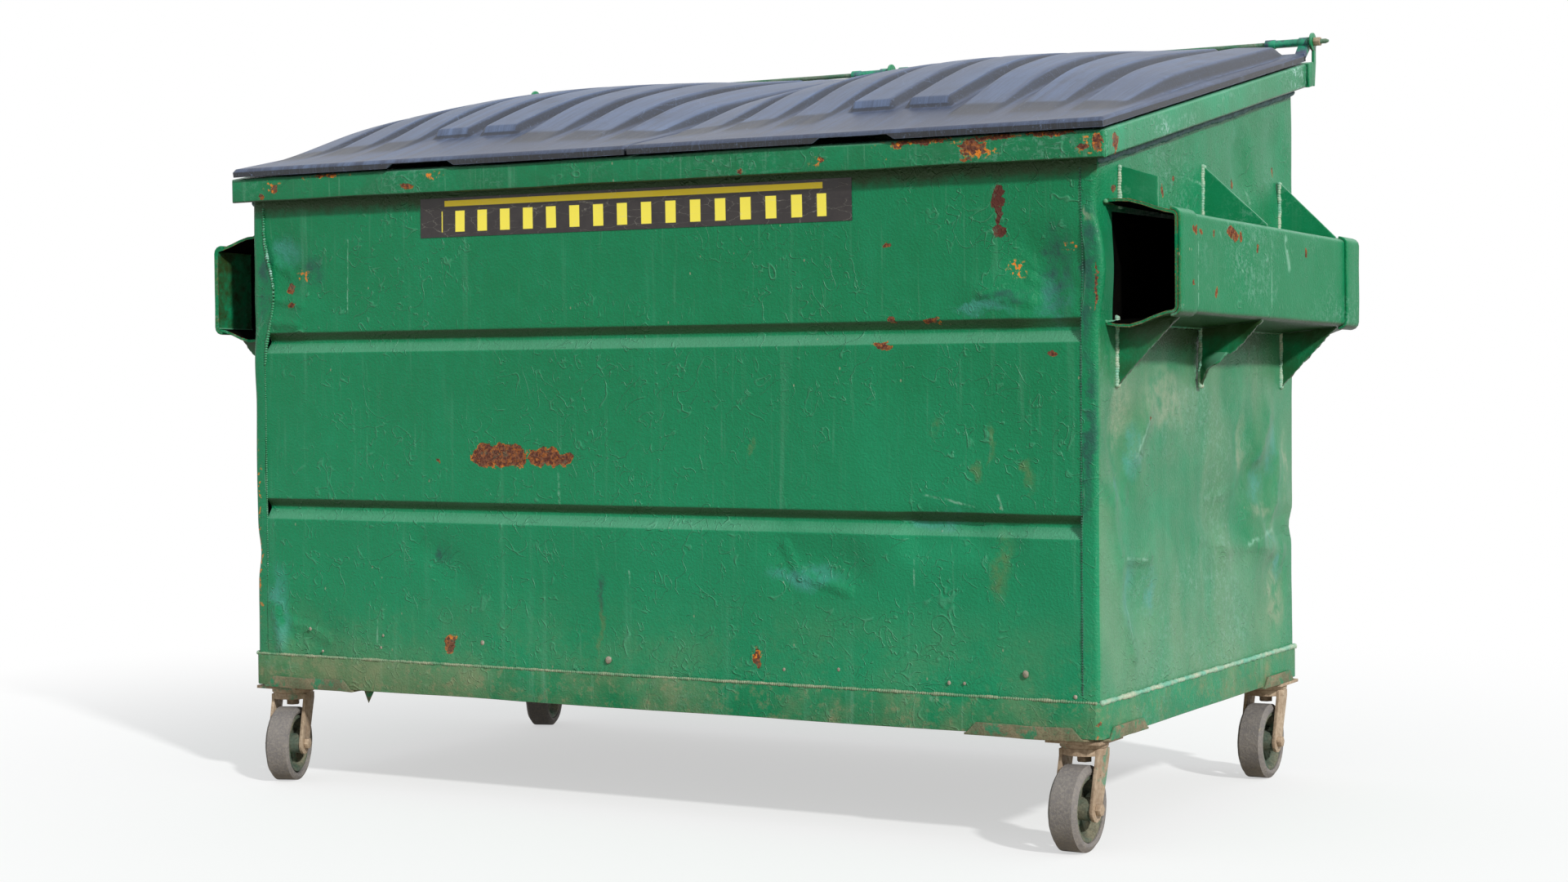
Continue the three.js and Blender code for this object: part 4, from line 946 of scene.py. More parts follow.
def strike(piece, start, stop, push, reach, falloff="SMOOTH"):
    """Moves the points along a line, and what lies round them, as a blow or a fold would."""
    only(piece)
    start, stop = Vector(start), Vector(stop)
    run = stop - start
    whole = run.length_squared

    def off(point):
        share = min(1, max(0, (point.co - start).dot(run) / whole)) if whole else 0
        return (point.co - start - run * share).length

    points = piece.data.vertices
    gaps = [off(point) for point in points]
    limit = min(gaps) + (sizes().front_step * 0.6 if whole else 0.0001)
    bpy.ops.object.mode_set(mode="EDIT")
    bpy.ops.mesh.select_mode(type="VERT")
    bpy.ops.mesh.select_all(action="DESELECT")
    bpy.ops.object.mode_set(mode="OBJECT")
    for point, gap in zip(points, gaps):
        point.select = gap <= limit
    bpy.ops.object.mode_set(mode="EDIT")
    bpy.ops.transform.translate(
        value=tuple(c * sizes().dent_scale for c in push), use_proportional_edit=True,
        proportional_edit_falloff=falloff, proportional_size=reach)
    bpy.ops.object.mode_set(mode="OBJECT")


def press(piece, centre, push, reach):
    """Moves the point nearest a place, and what lies round it."""
    strike(piece, centre, centre, push, reach)


def nudge(piece, centre, push, reach):
    """Eases all points round a place, alike on every sheet that meets there."""
    centre, push = Vector(centre), Vector(push)
    for point in piece.data.vertices:
        share = max(0.0, 1 - (point.co - centre).length / reach)
        point.co += push * (share * share * (3 - 2 * share))


def finish_faces(piece, index, test):
    """Gives the faces that pass a test the finish at an index."""
    for face in piece.data.polygons:
        if test(face):
            face.material_index = index


def add_modifier(piece, kind, **settings):
    """Adds a modifier, sets it and applies it."""
    only(piece)
    made = piece.modifiers.new(kind.title(), kind)
    for key, value in settings.items():
        setattr(made, key, value)
    bpy.ops.object.modifier_apply(modifier=made.name)


def displace(piece, size, depth, direction="NORMAL", level=0.5, group=""):
    """Moves the points of a piece, or of one group of them, by procedural clouds."""
    texture = bpy.data.textures.new(piece.name, "CLOUDS")
    texture.noise_scale = size
    texture.noise_depth = 2
    add_modifier(piece, "DISPLACE", texture=texture, texture_coords="LOCAL", direction=direction,
                 mid_level=level, strength=depth, vertex_group=group)


def ripple(piece, size, depth, direction, margin_axis=None, low=0, high=0, fade=0.06):
    """Gentle unevenness over a sheet, fading out towards two of its ends."""
    group = piece.vertex_groups.new(name="Ripple")
    for point in piece.data.vertices:
        weight = 1.0
        if margin_axis is not None:
            at = point.co[margin_axis]
            weight = max(0.0, min(1.0, (at - low) / fade, (high - at) / fade))
        group.add([point.index], weight, "REPLACE")
    displace(piece, size, depth, direction, 0.5, "Ripple")


def smooth(piece, angle=35):
    """Shades a piece smooth except at sharp edges."""
    only(piece)
    bpy.ops.object.shade_smooth_by_angle(angle=math.radians(angle))


def soften(piece, width=None, angle=35):
    """Rounds a plate's edges, by the set width if none is given, and shades it by angle."""
    add_modifier(piece, "BEVEL", width=width or sizes().edge_round, segments=2, limit_method="ANGLE",
                 angle_limit=math.radians(angle), harden_normals=False, use_clamp_overlap=True)
    smooth(piece, angle)


class ContainerPiece:
    """What the operators share."""

    bl_options = {"REGISTER", "UNDO"}

    def execute(self, context):
        self.make()
        return {"FINISHED"}


def seam_bulge(at, height, reach):
    """Share of a seam's sideways push at a height."""
    level = max(0.0, 1 - abs(at - height) / reach)
    return level * level * (3 - 2 * level)


class DressWalls(ContainerPiece, Operator):
    """Dented front, rear and side sheets."""

    bl_idname = "container.dress_walls"
    bl_label = "Dented sheets"

    def make(self):
        for node, finish, facing, step in (("front_wall", "Front paint", -1, sizes().front_step),
                                           ("rear_wall", "Rear paint", 1, sizes().rear_step)):
            low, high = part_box(node)
            sheet = copy_node(node, f"dented_{node}")
            slice_piece(sheet, 0, low.x, high.x, step)
            slice_piece(sheet, 2, low.z, high.z, step)
            ripple(sheet, 0.3, 0.0045, "Y", 2, low.z, high.z)
            ripple(sheet, 0.08, 0.0014, "Y", 2, low.z, high.z)
            dress(sheet, finish, "Inner paint")
            finish_faces(sheet, 1, lambda face: face.normal.y * facing < -0.3)
            if facing < 0:
                self.front_dents(sheet)
            self.corner_dents(sheet)
            smooth(sheet, 40)
        for word, side in SIDES.items():
            node = f"{word}_side_wall"
            low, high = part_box(node)
            sheet = copy_node(node, f"dented_{node}")
            slice_piece(sheet, 1, low.y, high.y, sizes().side_step)
            slice_piece(sheet, 2, low.z, high.z, sizes().side_step)
            ripple(sheet, 0.25, 0.006, "X", 2, low.z, high.z)
            dress(sheet, "Side paint", "Inner paint", "Painted pocket shade", "Front paint")
            finish_faces(sheet, 3, lambda face: face.normal.y < -0.6)
            finish_faces(sheet, 1, lambda face: face.normal.x * side < -0.3 or face.normal.y > 0.9)
            # Wall faces inside the pockets get the near-black painted shade.
            finish_faces(sheet, 2, lambda face: (
                face.normal.x * side > 0.3 and POCKET_FRONT + 0.035 < face.center.y < POCKET_REAR - 0.035
                and POCKET_LOW + 0.008 < face.center.z < POCKET_TOP - 0.02))
            self.side_dents(sheet, side)
            self.corner_dents(sheet)
            smooth(sheet, 40)

    def corner_dents(self, sheet):
        """Knocks at the corners, which the sheets on both sides of a corner share."""
        self.shift_seam(sheet, -1, KNOCK_HEIGHT, KNOCK_PUSH, KNOCK_REACH)
        self.shift_seam(sheet, -1, 0.62, -0.003, 0.08)
        self.shift_seam(sheet, 1, 0.62, -0.004, 0.1)
        nudge(sheet, (-WALL_X, FRONT, 0.46), (0.004, 0.003, 0), 0.06)
        nudge(sheet, (-WALL_X, FRONT, 0.84), (-0.003, 0, 0), 0.08)
        nudge(sheet, (WALL_X, FRONT, 0.985), (0.012, -0.002, 0), 0.1)
        nudge(sheet, (WALL_X, FRONT, 1.09), (-0.006, 0.003, 0), 0.06)
        nudge(sheet, (WALL_X, REAR, 0.503), (-0.006, -0.004, 0), 0.04)

    def shift_seam(self, sheet, side, height, push, reach):
        """Moves the seam between a corner return and the front sheet across, and leaves the corner itself."""
        for point in sheet.data.vertices:
            out = point.co.x * side - SEAM_X
            beside = max(0.0, 1 - out / 0.03) if out > 0 else max(0.0, 1 + out / 0.12)
            if point.co.y < FRONT + 0.05:
                point.co.x -= side * push * beside * seam_bulge(point.co.z, height, reach)

    def front_dents(self, sheet):
        """Blows and folds on the front, each from one place to another, with its depth and reach."""
        blows = (
            (0.83, 0.985, 0.83, 0.985, 0.011, 0.11, "SMOOTH"),
            (0.77, 1.03, 0.865, 0.925, 0.006, 0.05, "SHARP"),
            (0.7, 0.945, 0.77, 0.93, -0.005, 0.05, "SMOOTH"),
            (0.865, 0.96, 0.87, 0.93, -0.006, 0.035, "SMOOTH"),
            (-0.845, 1.05, -0.84, 1.02, 0.008, 0.08, "SMOOTH"),
            (-0.87, 0.925, -0.8, 0.915, -0.004, 0.04, "SHARP"),
            (-0.8, 0.96, -0.78, 0.95, -0.004, 0.05, "SMOOTH"),
            (0.585, 0.533, 0.665, 0.54, 0.011, 0.06, "SMOOTH"),
            (0.311, 0.505, 0.346, 0.448, 0.006, 0.05, "LINEAR"),
            (0.346, 0.448, 0.441, 0.431, -0.005, 0.04, "LINEAR"),
            (0.39, 0.475, 0.42, 0.47, 0.009, 0.08, "SMOOTH"), (0.72, 0.53, 0.74, 0.53, 0.007, 0.06, "SMOOTH"),
            (-0.8, 0.3, -0.75, 0.29, 0.006, 0.09, "SMOOTH"),
            (-0.865, 0.34, -0.85, 0.27, -0.005, 0.035, "LINEAR"),
            (-0.15, 0.72, 0.2, 0.72, 0.004, 0.22, "SMOOTH"), (-0.6, 0.75, -0.3, 0.74, 0.005, 0.2, "SMOOTH"),
            (-0.2, 0.36, 0.1, 0.36, 0.004, 0.16, "SMOOTH"), (-0.7, 0.42, -0.5, 0.42, 0.005, 0.18, "SMOOTH"),
            (0.6, 0.36, 0.75, 0.35, 0.005, 0.16, "SMOOTH"), (0.0, 1.0, 0.4, 1.0, 0.003, 0.2, "SMOOTH"),
            (0.55, 0.74, 0.75, 0.72, 0.004, 0.16, "SMOOTH"),
            (-0.48, 0.48, -0.4, 0.42, 0.004, 0.05, "SMOOTH"),
        )
        for x0, z0, x1, z1, depth, reach, falloff in blows:
            strike(sheet, (x0, FRONT, z0), (x1, FRONT, z1), (0, depth, 0), reach, falloff)

    def side_dents(self, sheet, side):
        """Blows and folds on a side, each from one place to another, with its depth and reach."""
        blows = (
            (0.11, 0.71, 0.12, 0.66, 0.016, 0.10, "SMOOTH"),
            (0.235, 0.74, 0.145, 0.628, -0.006, 0.045, "LINEAR"),
            (0.072, 0.633, 0.05, 0.59, -0.004, 0.04, "LINEAR"),
            (0.05, 0.59, 0.082, 0.505, -0.005, 0.04, "LINEAR"),
            (0.086, 0.485, 0.153, 0.319, -0.006, 0.04, "LINEAR"),
            (0.17, 0.43, 0.2, 0.4, 0.014, 0.10, "SMOOTH"),
            (0.11, 0.492, 0.225, 0.483, -0.003, 0.035, "LINEAR"),
            (0.56, 0.53, 0.7, 0.52, 0.014, 0.13, "SMOOTH"),
            (0.48, 0.505, 0.62, 0.478, -0.005, 0.04, "LINEAR"),
            (0.62, 0.478, 0.78, 0.474, -0.005, 0.04, "LINEAR"),
            (0.7, 0.552, 0.77, 0.61, 0.008, 0.05, "LINEAR"), (0.72, 0.68, 0.76, 0.6, 0.010, 0.08, "SMOOTH"),
            (0.77, 0.61, 0.85, 0.73, -0.007, 0.045, "LINEAR"),
            (0.86, 0.505, 0.96, 0.503, 0.009, 0.04, "LINEAR"), (0.82, 0.58, 0.85, 0.6, 0.010, 0.06, "SMOOTH"),
            (0.83, 0.48, 0.88, 0.47, -0.008, 0.05, "SMOOTH"),
            (0.909, 0.641, 0.88, 0.51, -0.006, 0.04, "LINEAR"),
            (0.88, 0.42, 0.93, 0.4, 0.007, 0.05, "SMOOTH"), (0.95, 0.62, 0.96, 0.58, -0.003, 0.04, "SMOOTH"),
            (0.3, 0.66, 0.45, 0.6, 0.007, 0.2, "SMOOTH"), (0.3, 0.35, 0.5, 0.34, 0.006, 0.16, "SMOOTH"),
            (0.7, 0.35, 0.85, 0.34, 0.006, 0.12, "SMOOTH"), (0.7, 1.22, 0.72, 1.18, 0.010, 0.07, "SMOOTH"),
            (0.35, 1.16, 0.4, 1.16, 0.006, 0.1, "SMOOTH"), (0.9, 1.25, 0.93, 1.2, 0.008, 0.08, "SMOOTH"),
            (0.45, 0.82, 0.6, 0.8, 0.006, 0.14, "SMOOTH"),
        )
        for y0, z0, y1, z1, depth, reach, falloff in blows:
            strike(sheet, (side * WALL_X, FRONT + y0, z0), (side * WALL_X, FRONT + y1, z1),
                   (-side * depth, 0, 0), reach, falloff)


class DressRims(ContainerPiece, Operator):
    """Rim channels, rippled and with rounded edges, and the pan's skirt."""

    bl_idname = "container.dress_rims"
    bl_label = "Rims and pan"

    def make(self):
        for node, finish in (("front_rim", "Rim paint"), ("rear_rim", "Rim paint"),
                             ("left_rim", "Side rim paint"), ("right_rim", "Side rim paint")):
            low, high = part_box(node)
            rim = copy_node(node, f"worn_{node}")
            axis = 1 if node.split("_")[0] in SIDES else 0
            slice_piece(rim, axis, low[axis], high[axis], 0.05)
            ripple(rim, 0.2, 0.004, "Z" if axis == 0 else "X")
            soften(rim, 0.0008)
            dress(rim, finish)
        low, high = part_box("floor_pan")
        pan = copy_node("floor_pan", "worn_floor_pan")
        slice_piece(pan, 0, low.x, high.x, 0.06)
        slice_piece(pan, 1, low.y, high.y, 0.06)
        ripple(pan, 0.25, 0.003, "Z")
        soften(pan)
        dress(pan, "Skirt paint")


def lid_rise(along, across, width):
    """Height of the lid's top over its lip, from the same shape as the solid one."""
    reach = min(abs(2 * across / width), 1)
    crown = 0.046 * math.sin(math.pi * along) ** 1.5 * (1 - reach ** 2.2)
    pitch, top, foot, count = 0.115, 0.072, 0.096, 8
    index = min(max(math.floor(across / pitch + count / 2), 0), count - 1)
    offset = abs(across - (index + 0.5 - count / 2) * pitch)
    section = min(max((foot / 2 - offset) / ((foot - top) / 2), 0), 1)
    if index in (3, 4):
        grow = 0.72 * min(max((along - 0.174) / 0.011, 0), 1) + 0.28 * min(max((along - 0.19) / 0.2, 0), 1)
    else:
        grow = min(max((along - 0.06) / 0.34, 0), 1)
        grow = grow * grow * (3 - 2 * grow)
    fade = min(max((along - 0.88) / 0.08, 0), 1)
    fade = 1 - fade * fade * (3 - 2 * fade)
    return crown + 0.024 * section * grow * fade, section * min(grow * 4, 1) * fade


class DressLids(ContainerPiece, Operator):
    """Moulded lids with ribs, lips, hand notches and hinge ears."""

    bl_idname = "container.dress_lids"
    bl_label = "Lids"

    def make(self):
        for word, side in SIDES.items():
            self.lid(word, side)

    def lid(self, word, side):
        node = f"{word}_lid"
        low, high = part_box(node)
        width = high.x - low.x
        centre = (low.x + high.x) / 2
        turn = Matrix.Translation((centre, ROD.y, ROD.z)) @ Matrix.Rotation(LID_SLOPE, 4, "X")
        back, length, lip = -0.036, 1.0709, 0.016
        rod_over_foot = 0.0355
        base = -rod_over_foot * math.cos(LID_SLOPE)
        bpy.ops.mesh.primitive_grid_add(
            x_subdivisions=sizes().lid_columns, y_subdivisions=sizes().lid_rows, size=1)
        lid = bpy.context.active_object
        lid.name = f"{word}_lid_moulding"
        round_edge = 0.006
        relief = lid.data.attributes.new("Relief", "FLOAT", "POINT")
        for point in lid.data.vertices:
            u, v = point.co.x, point.co.y + 0.5
            x = u * width
            y = back - (1 - v) * length
            edge = min(width / 2 - abs(x), v * length, (1 - v) * length)
            drop = round_edge - math.sqrt(max(round_edge ** 2 - max(round_edge - edge, 0) ** 2, 0))
            wave = 0.0035 * noise.noise(Vector((x * 3, y * 3, side * 5)))
            lift, relief.data[point.index].value = lid_rise(v, x, width)
            point.co = (x, y, base + lip + lift - drop + wave * min(1, edge / 0.05))
        only(lid)
        bpy.ops.object.mode_set(mode="EDIT")
        bpy.ops.mesh.select_all(action="SELECT")
        bpy.ops.mesh.region_to_loop()
        bpy.ops.mesh.extrude_region_move(TRANSFORM_OT_translate={"value": (0, 0, -(lip - round_edge))})
        bpy.ops.object.mode_set(mode="OBJECT")
        self.notch(lid, back - length, base)
        add_modifier(lid, "SOLIDIFY", thickness=0.005, offset=-1, use_even_offset=False)
        dress(lid, "Lid plastic", "Shaded lid lip")
        # Lip faces get the darker copy of the plastic: painted shade.
        finish_faces(lid, 1, lambda face: abs(face.normal.z) < 0.5 and (
            face.center.y < back - length + 0.01 or abs(face.center.x) > width / 2 - 0.01))
        lid.matrix_world = turn
        bake(lid)
        smooth(lid, 50)
        ears = copy_node(node, f"{word}_lid_ears")
        only(ears)
        bpy.ops.object.mode_set(mode="EDIT")
        bpy.ops.mesh.select_all(action="SELECT")
        cut = turn @ Vector((0, back - 0.0052, 0))
        normal = turn.to_3x3() @ Vector((0, 1, 0))
        bpy.ops.mesh.bisect(plane_co=cut, plane_no=normal, clear_inner=True, use_fill=True)
        bpy.ops.object.mode_set(mode="OBJECT")
        soften(ears, 0.001, 40)
        dress(ears, "Lid plastic")
        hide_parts(node)
        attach(lid, node)

    def notch(self, lid, front, base):
        """Lifts the front lip over the hand notch."""
        for point in lid.data.vertices:
            across = abs(point.co.x)
            if abs(point.co.y - front) < 0.001 and across < 0.08 and point.co.z < base + 0.004:
                point.co.z += 0.009 * min(1, (0.08 - across) / 0.014)


class DressPockets(ContainerPiece, Operator):
    """Fork pockets, wear bands and gussets, bent by use."""

    bl_idname = "container.dress_pockets"
    bl_label = "Fork pockets"

    def make(self):
        for word, side in SIDES.items():
            self.pocket(word, side)
            self.bands(word)
            self.gussets(word, side)

    def pocket(self, word, side):
        node = f"{word}_fork_pocket"
        low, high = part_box(node)
        pocket = copy_node(node, f"worn_{node}")
        slice_piece(pocket, 1, low.y, high.y, 0.02)
        slice_piece(pocket, 2, low.z + 0.03, high.z - 0.03, 0.025)
        slice_piece(pocket, 0, low.x, high.x, 0.02)
        for end in (low.y, high.y):
            press(pocket, (side * (WALL_X + 0.05), end, low.z + 0.006), (0, 0, -0.014), 0.07)
            press(pocket, (side * (WALL_X + 0.05), end, high.z - 0.012), (0, 0, 0.009), 0.07)
        press(pocket, (side * POCKET_X, low.y + 0.25, 1.0), (-side * 0.005, 0, 0), 0.15)
        press(pocket, (side * POCKET_X, low.y + 0.7, 0.97), (-side * 0.004, 0, 0), 0.15)
        smooth(pocket, 40)
        dress(pocket, "Pocket paint", "Painted pocket shade", "Pocket lining")
        middle_z = (POCKET_LOW + POCKET_TOP) / 2
        # Inner faces get the near-black painted shade, and near the outer mouth the olive-shaded lining.
        for face in pocket.data.polygons:
            inward = Vector((side * (WALL_X + 0.06) - face.center.x, 0, middle_z - face.center.z))
            from_mouth = min(face.center.y - low.y, high.y - face.center.y)
            shown = abs(face.normal.x) > 0.7 and from_mouth < 0.1 and side * face.center.x > WALL_X + 0.1
            if face.normal.dot(inward.normalized()) > 0.3 and abs(face.normal.y) < 0.5:
                face.material_index = 2 if shown else 1

    def bands(self, word):
        for end in ("front", "rear"):
            node = f"{word}_pocket_band_{end}"
            band = copy_node(node, f"worn_{node}")
            low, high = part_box(node)
            slice_piece(band, 1, low.y, high.y, 0.02)
            slice_piece(band, 2, low.z + 0.03, high.z - 0.03, 0.03)
            ripple(band, 0.06, 0.002, "X")
            soften(band, 0.001)
            dress(band, "Pocket paint")

    def gussets(self, word, side):
        for level in ("upper", "lower"):
            for end in ENDS:
                node = f"{word}_{level}_gusset_{end}"
                plate = copy_node(node, f"worn_{node}")
                low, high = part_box(node)
                slice_piece(plate, 0, low.x, high.x, 0.005)
                slice_piece(plate, 2, low.z, high.z, 0.008)
                ripple(plate, 0.08, 0.003, "Y")
                if level == "lower":
                    self.ragged_edge(plate, low, high, side)
                if node == "right_lower_gusset_middle":
                    self.tear(plate, low, high)
                soften(plate, 0.0008)
                dress(plate, "Gusset paint" if level == "upper" else "Shaded lower gusset paint")

    def ragged_edge(self, plate, low, high, side):
        """Saw-toothed cut along the slanted lower edge."""
        edge = plate.vertex_groups.new(name="Edge")
        inner, outer = (low.x, high.x) if side > 0 else (high.x, low.x)
        for point in plate.data.vertices:
            share = (point.co.x - inner) / (outer - inner)
            gap = point.co.z - (low.z + (high.z - 0.006 - low.z) * share)
            if 0.05 < share < 0.95 and gap < 0.004:
                edge.add([point.index], 1.0, "REPLACE")
        displace(plate, 0.005, 0.009, "Z", 0.3, "Edge")

    def tear(self, plate, low, high):
        """Flattens the foot of the torn blade and twists the strip that still hangs at the wall."""
        middle = (low.y + high.y) / 2
        torn, wide = low.z + 0.064, 0.4 * (high.x - low.x)
        for point in plate.data.vertices:
            out = point.co.x - low.x
            if out > wide and point.co.z < torn:
                point.co.z = torn + 0.003 * math.sin(out * 300)
            elif point.co.z < torn - 0.002:
                share = min(1, (torn - point.co.z) / 0.03)
                turn = Matrix.Rotation(-0.8 * share, 2)
                flat = turn @ Vector((out, point.co.y - middle))
                point.co.x, point.co.y = low.x + max(flat.x, -0.002), middle + flat.y
        only(plate)
        bpy.ops.object.mode_set(mode="EDIT")
        bpy.ops.mesh.select_all(action="SELECT")
        bpy.ops.mesh.dissolve_degenerate(threshold=0.0004)
        bpy.ops.object.mode_set(mode="OBJECT")
        tip = Vector((high.x - 0.006, middle, high.z - 0.012))
        strike(plate, tip, tip, (0, -0.012, 0), 0.05)


class DressFittings(ContainerPiece, Operator):
    """Pads, hinge lugs, rod and nuts."""

    bl_idname = "container.dress_fittings"
    bl_label = "Pads and hinge fittings"

    def make(self):
        for end in ("front", "rear"):
            for word in SIDES:
                node = f"{end}_{word}_pad"
                pad = copy_node(node, f"worn_{node}")
                low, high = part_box(node)
                slice_piece(pad, 0, low.x, high.x, 0.03)
                slice_piece(pad, 1, low.y, high.y, 0.03)
                ripple(pad, 0.08, 0.003, "Z")
                soften(pad, 0.001)
                dress(pad, "Pad steel")
        for word in (*SIDES, "centre"):
            lug = copy_node(f"{word}_hinge_lug", f"worn_{word}_hinge_lug")
            soften(lug, 0.0008)
            dress(lug, "Gusset paint")
        for word in SIDES:
            nut = copy_node(f"{word}_rod_nut", f"worn_{word}_rod_nut")
            soften(nut, 0.0008)
            dress(nut, "Caster steel")
        rod = copy_node("lid_rod", "worn_lid_rod")
        smooth(rod)
        dress(rod, "Rod steel")


class DressCasters(ContainerPiece, Operator):
    """Forks, plates, bolts, spoked cores and tyres."""

    bl_idname = "container.dress_casters"
    bl_label = "Casters"

    def make(self):
        for corner in CORNERS:
            for part, finish, slot in (
                    ("caster_plate", "Caster steel", "worn_steel"), ("fork", "Caster steel", "worn_steel"),
                    ("axle_bolt", "Caster steel", "worn_steel"), ("wheel_core", "Caster core", "cast_core")):
                node = f"{corner}_{part}"
                piece = copy_node(node, f"worn_{node}")
                soften(piece, None if part == "fork" else 0.0007, 38)
                dress(piece, finish)
            self.tyre(corner)

    def tyre(self, corner):
        """Turned tyre: tread, shoulders and side walls, with its bore open round the core."""
        spin = WHEELS[corner]
        centre, axis = Vector(spin["pos_m"]), Vector(spin["axis"])
        tread, outer = 0.0386, 0.0735
        bpy.ops.mesh.primitive_cylinder_add(
            vertices=sizes().tyre_segments, radius=outer, depth=tread, end_fill_type="NGON")
        tyre = bpy.context.active_object
        tyre.name = f"{corner}_worn_tyre"
        only(tyre)
        bpy.ops.object.mode_set(mode="EDIT")
        for way in (1, -1):
            for inset, lift in ((0.003, 0.002), (0.004, 0.0037), (0.0035, 0.0008), (0.0055, -0.0022)):
                self.pick_cap(tyre, way)
                bpy.ops.mesh.inset(thickness=inset)
                bpy.ops.transform.translate(value=(0, 0, way * lift))
        bpy.ops.mesh.select_all(action="DESELECT")
        bpy.ops.object.mode_set(mode="OBJECT")
        for face in tyre.data.polygons:
            face.select = len(face.vertices) > 8
        bpy.ops.object.mode_set(mode="EDIT")
        bpy.ops.mesh.select_mode(type="FACE")
        bpy.ops.mesh.bridge_edge_loops()
        bpy.ops.mesh.select_all(action="SELECT")
        bpy.ops.mesh.normals_make_consistent(inside=False)
        bpy.ops.object.mode_set(mode="OBJECT")
        displace(tyre, 0.03, 0.0016)
        smooth(tyre, 32)
        turn = Vector((0, 0, 1)).rotation_difference(axis).to_matrix().to_4x4()
        tyre.matrix_world = Matrix.Translation(centre) @ turn
        dress(tyre, "Tyre rubber")
        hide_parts(f"{corner}_tyre")
        settle(tyre, f"{corner}_wheel")

    def pick_cap(self, tyre, way):
        """Selects the end cap that faces one way."""
        bpy.ops.object.mode_set(mode="OBJECT")
        for face in tyre.data.polygons:
            face.select = len(face.vertices) > 8 and face.normal.z * way > 0
        bpy.ops.object.mode_set(mode="EDIT")
        bpy.ops.mesh.select_mode(type="FACE")


class AddWelds(ContainerPiece, Operator):
    """Rippled weld beads where plates meet, and the sealant under the side rims."""

    bl_idname = "container.add_welds"
    bl_label = "Weld beads"

    def make(self):
        skirt, end, top = 0.0015, 0.01, SKIRT_TOP
        self.bead("skirt_weld", [
            ((-SKIRT_X + end, y, top), (SKIRT_X - end, y, top))
            for y in (SKIRT_FRONT + skirt, SKIRT_REAR - skirt)], 0.75, "Skirt bead")
        self.bead("side_skirt_weld", [
            ((side * (SKIRT_X - skirt), SKIRT_FRONT + end, top),
             (side * (SKIRT_X - skirt), SKIRT_REAR - end, top))
            for side in SIDES.values()], 1.15, "Side bead")
        self.pocket_welds()
        self.gusset_welds()
        self.seam_welds()
        self.rim_sealant()

    def pocket_welds(self):
        paths, sag = [], 0.012
        for side in SIDES.values():
            x = side * WELD_X
            paths.append(((x, POCKET_FRONT, POCKET_TOP - 0.002), (x, POCKET_REAR - 0.015, POCKET_TOP - sag)))
            paths.append(((x, POCKET_FRONT, POCKET_LOW + sag), (x, POCKET_REAR - 0.015, POCKET_LOW + 0.002)))
        self.bead("pocket_weld", paths, 1.0)

    def gusset_welds(self):
        paths = []
        for word, side in SIDES.items():
            for level in ("upper", "lower"):
                for end in ENDS:
                    low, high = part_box(f"{word}_{level}_gusset_{end}")
                    x = side * WELD_X
                    paths += [((x, y, low.z + 0.004), (x, y, high.z - 0.004)) for y in (low.y, high.y)]
        self.bead("gusset_weld", paths, 1.1, "Side bead")

    def seam_welds(self):
        """Seams between the corner returns and the front and rear sheets."""
        heights = (1.15, 1.1, 1.07, 1.05, 1.03, 1.01, 0.99, 0.975, 0.96, 0.94, 0.92, 0.9, 0.88, 0.84)
        left = [(-SEAM_X + KNOCK_PUSH * seam_bulge(z, KNOCK_HEIGHT, KNOCK_REACH), z) for z in heights]
        left_low = (left[-1], (-SEAM_X, SEAM_FOOT))
        right = ((SEAM_X, 1.15), (SEAM_X + 0.004, 0.985), (SEAM_X, 0.88), (SEAM_X, SEAM_FOOT))
        for name, points, girth, finish in (("left_seam_weld", left, 0.75, "Weld paint"),
                                            ("left_low_seam_weld", left_low, 0.4, "Weld paint"),
                                            ("right_seam_weld", right, 0.4, "Seam grime")):
            paths = [((x0, FRONT, z0), (x1, FRONT, z1)) for (x0, z0), (x1, z1) in zip(points, points[1:])]
            self.bead(name, paths, girth, finish)
        self.bead("rear_seam_weld", [((side * SEAM_X, REAR, SEAM_FOOT), (side * SEAM_X, REAR, 1.36))
                                     for side in SIDES.values()], 0.5)

    def rim_sealant(self):
        slope = math.tan(LID_SLOPE)
        foot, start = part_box("right_rim")[0].z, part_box("right_rim")[0].y
        paths = []
        for side in SIDES.values():
            x = side * (WALL_X + 0.002)
            ends = [(x, y, foot + (y - start) * slope - 0.008) for y in (FRONT + 0.012, REAR - 0.012)]
            paths.append(tuple(ends))
        self.bead("rim_sealant", paths, 1.7, "Sealant")

    def bead(self, name, paths, girth, finish="Weld paint"):
        """Chains of flattened blobs along straight paths, joined as one piece."""
        radius, pitch = sizes().weld_radius * girth, sizes().weld_pitch
        chains = []
        for start, stop in paths:
            start, stop = Vector(start), Vector(stop)
            run = stop - start
            bpy.ops.mesh.primitive_uv_sphere_add(segments=8, ring_count=5, radius=radius)
            chain = bpy.context.active_object
            turn = run.to_track_quat("Z", "Y").to_matrix().to_4x4()
            chain.matrix_world = Matrix.Translation(start) @ turn @ Matrix.Diagonal((1, 1, 0.95, 1))
            bake(chain)
            count = max(2, round(run.length / pitch))
            add_modifier(chain, "ARRAY", count=count, use_relative_offset=False, use_constant_offset=True,
                         constant_offset_displace=run / (count - 1))
            chains.append(chain)
        bead = join(chains, name)
        for size, depth in ((0.05, 0.003 * girth), (0.009, 0.0042 * girth)):
            displace(bead, size, depth)
        bpy.ops.object.shade_smooth()
        dress(bead, finish)
        settle(bead, "bin")


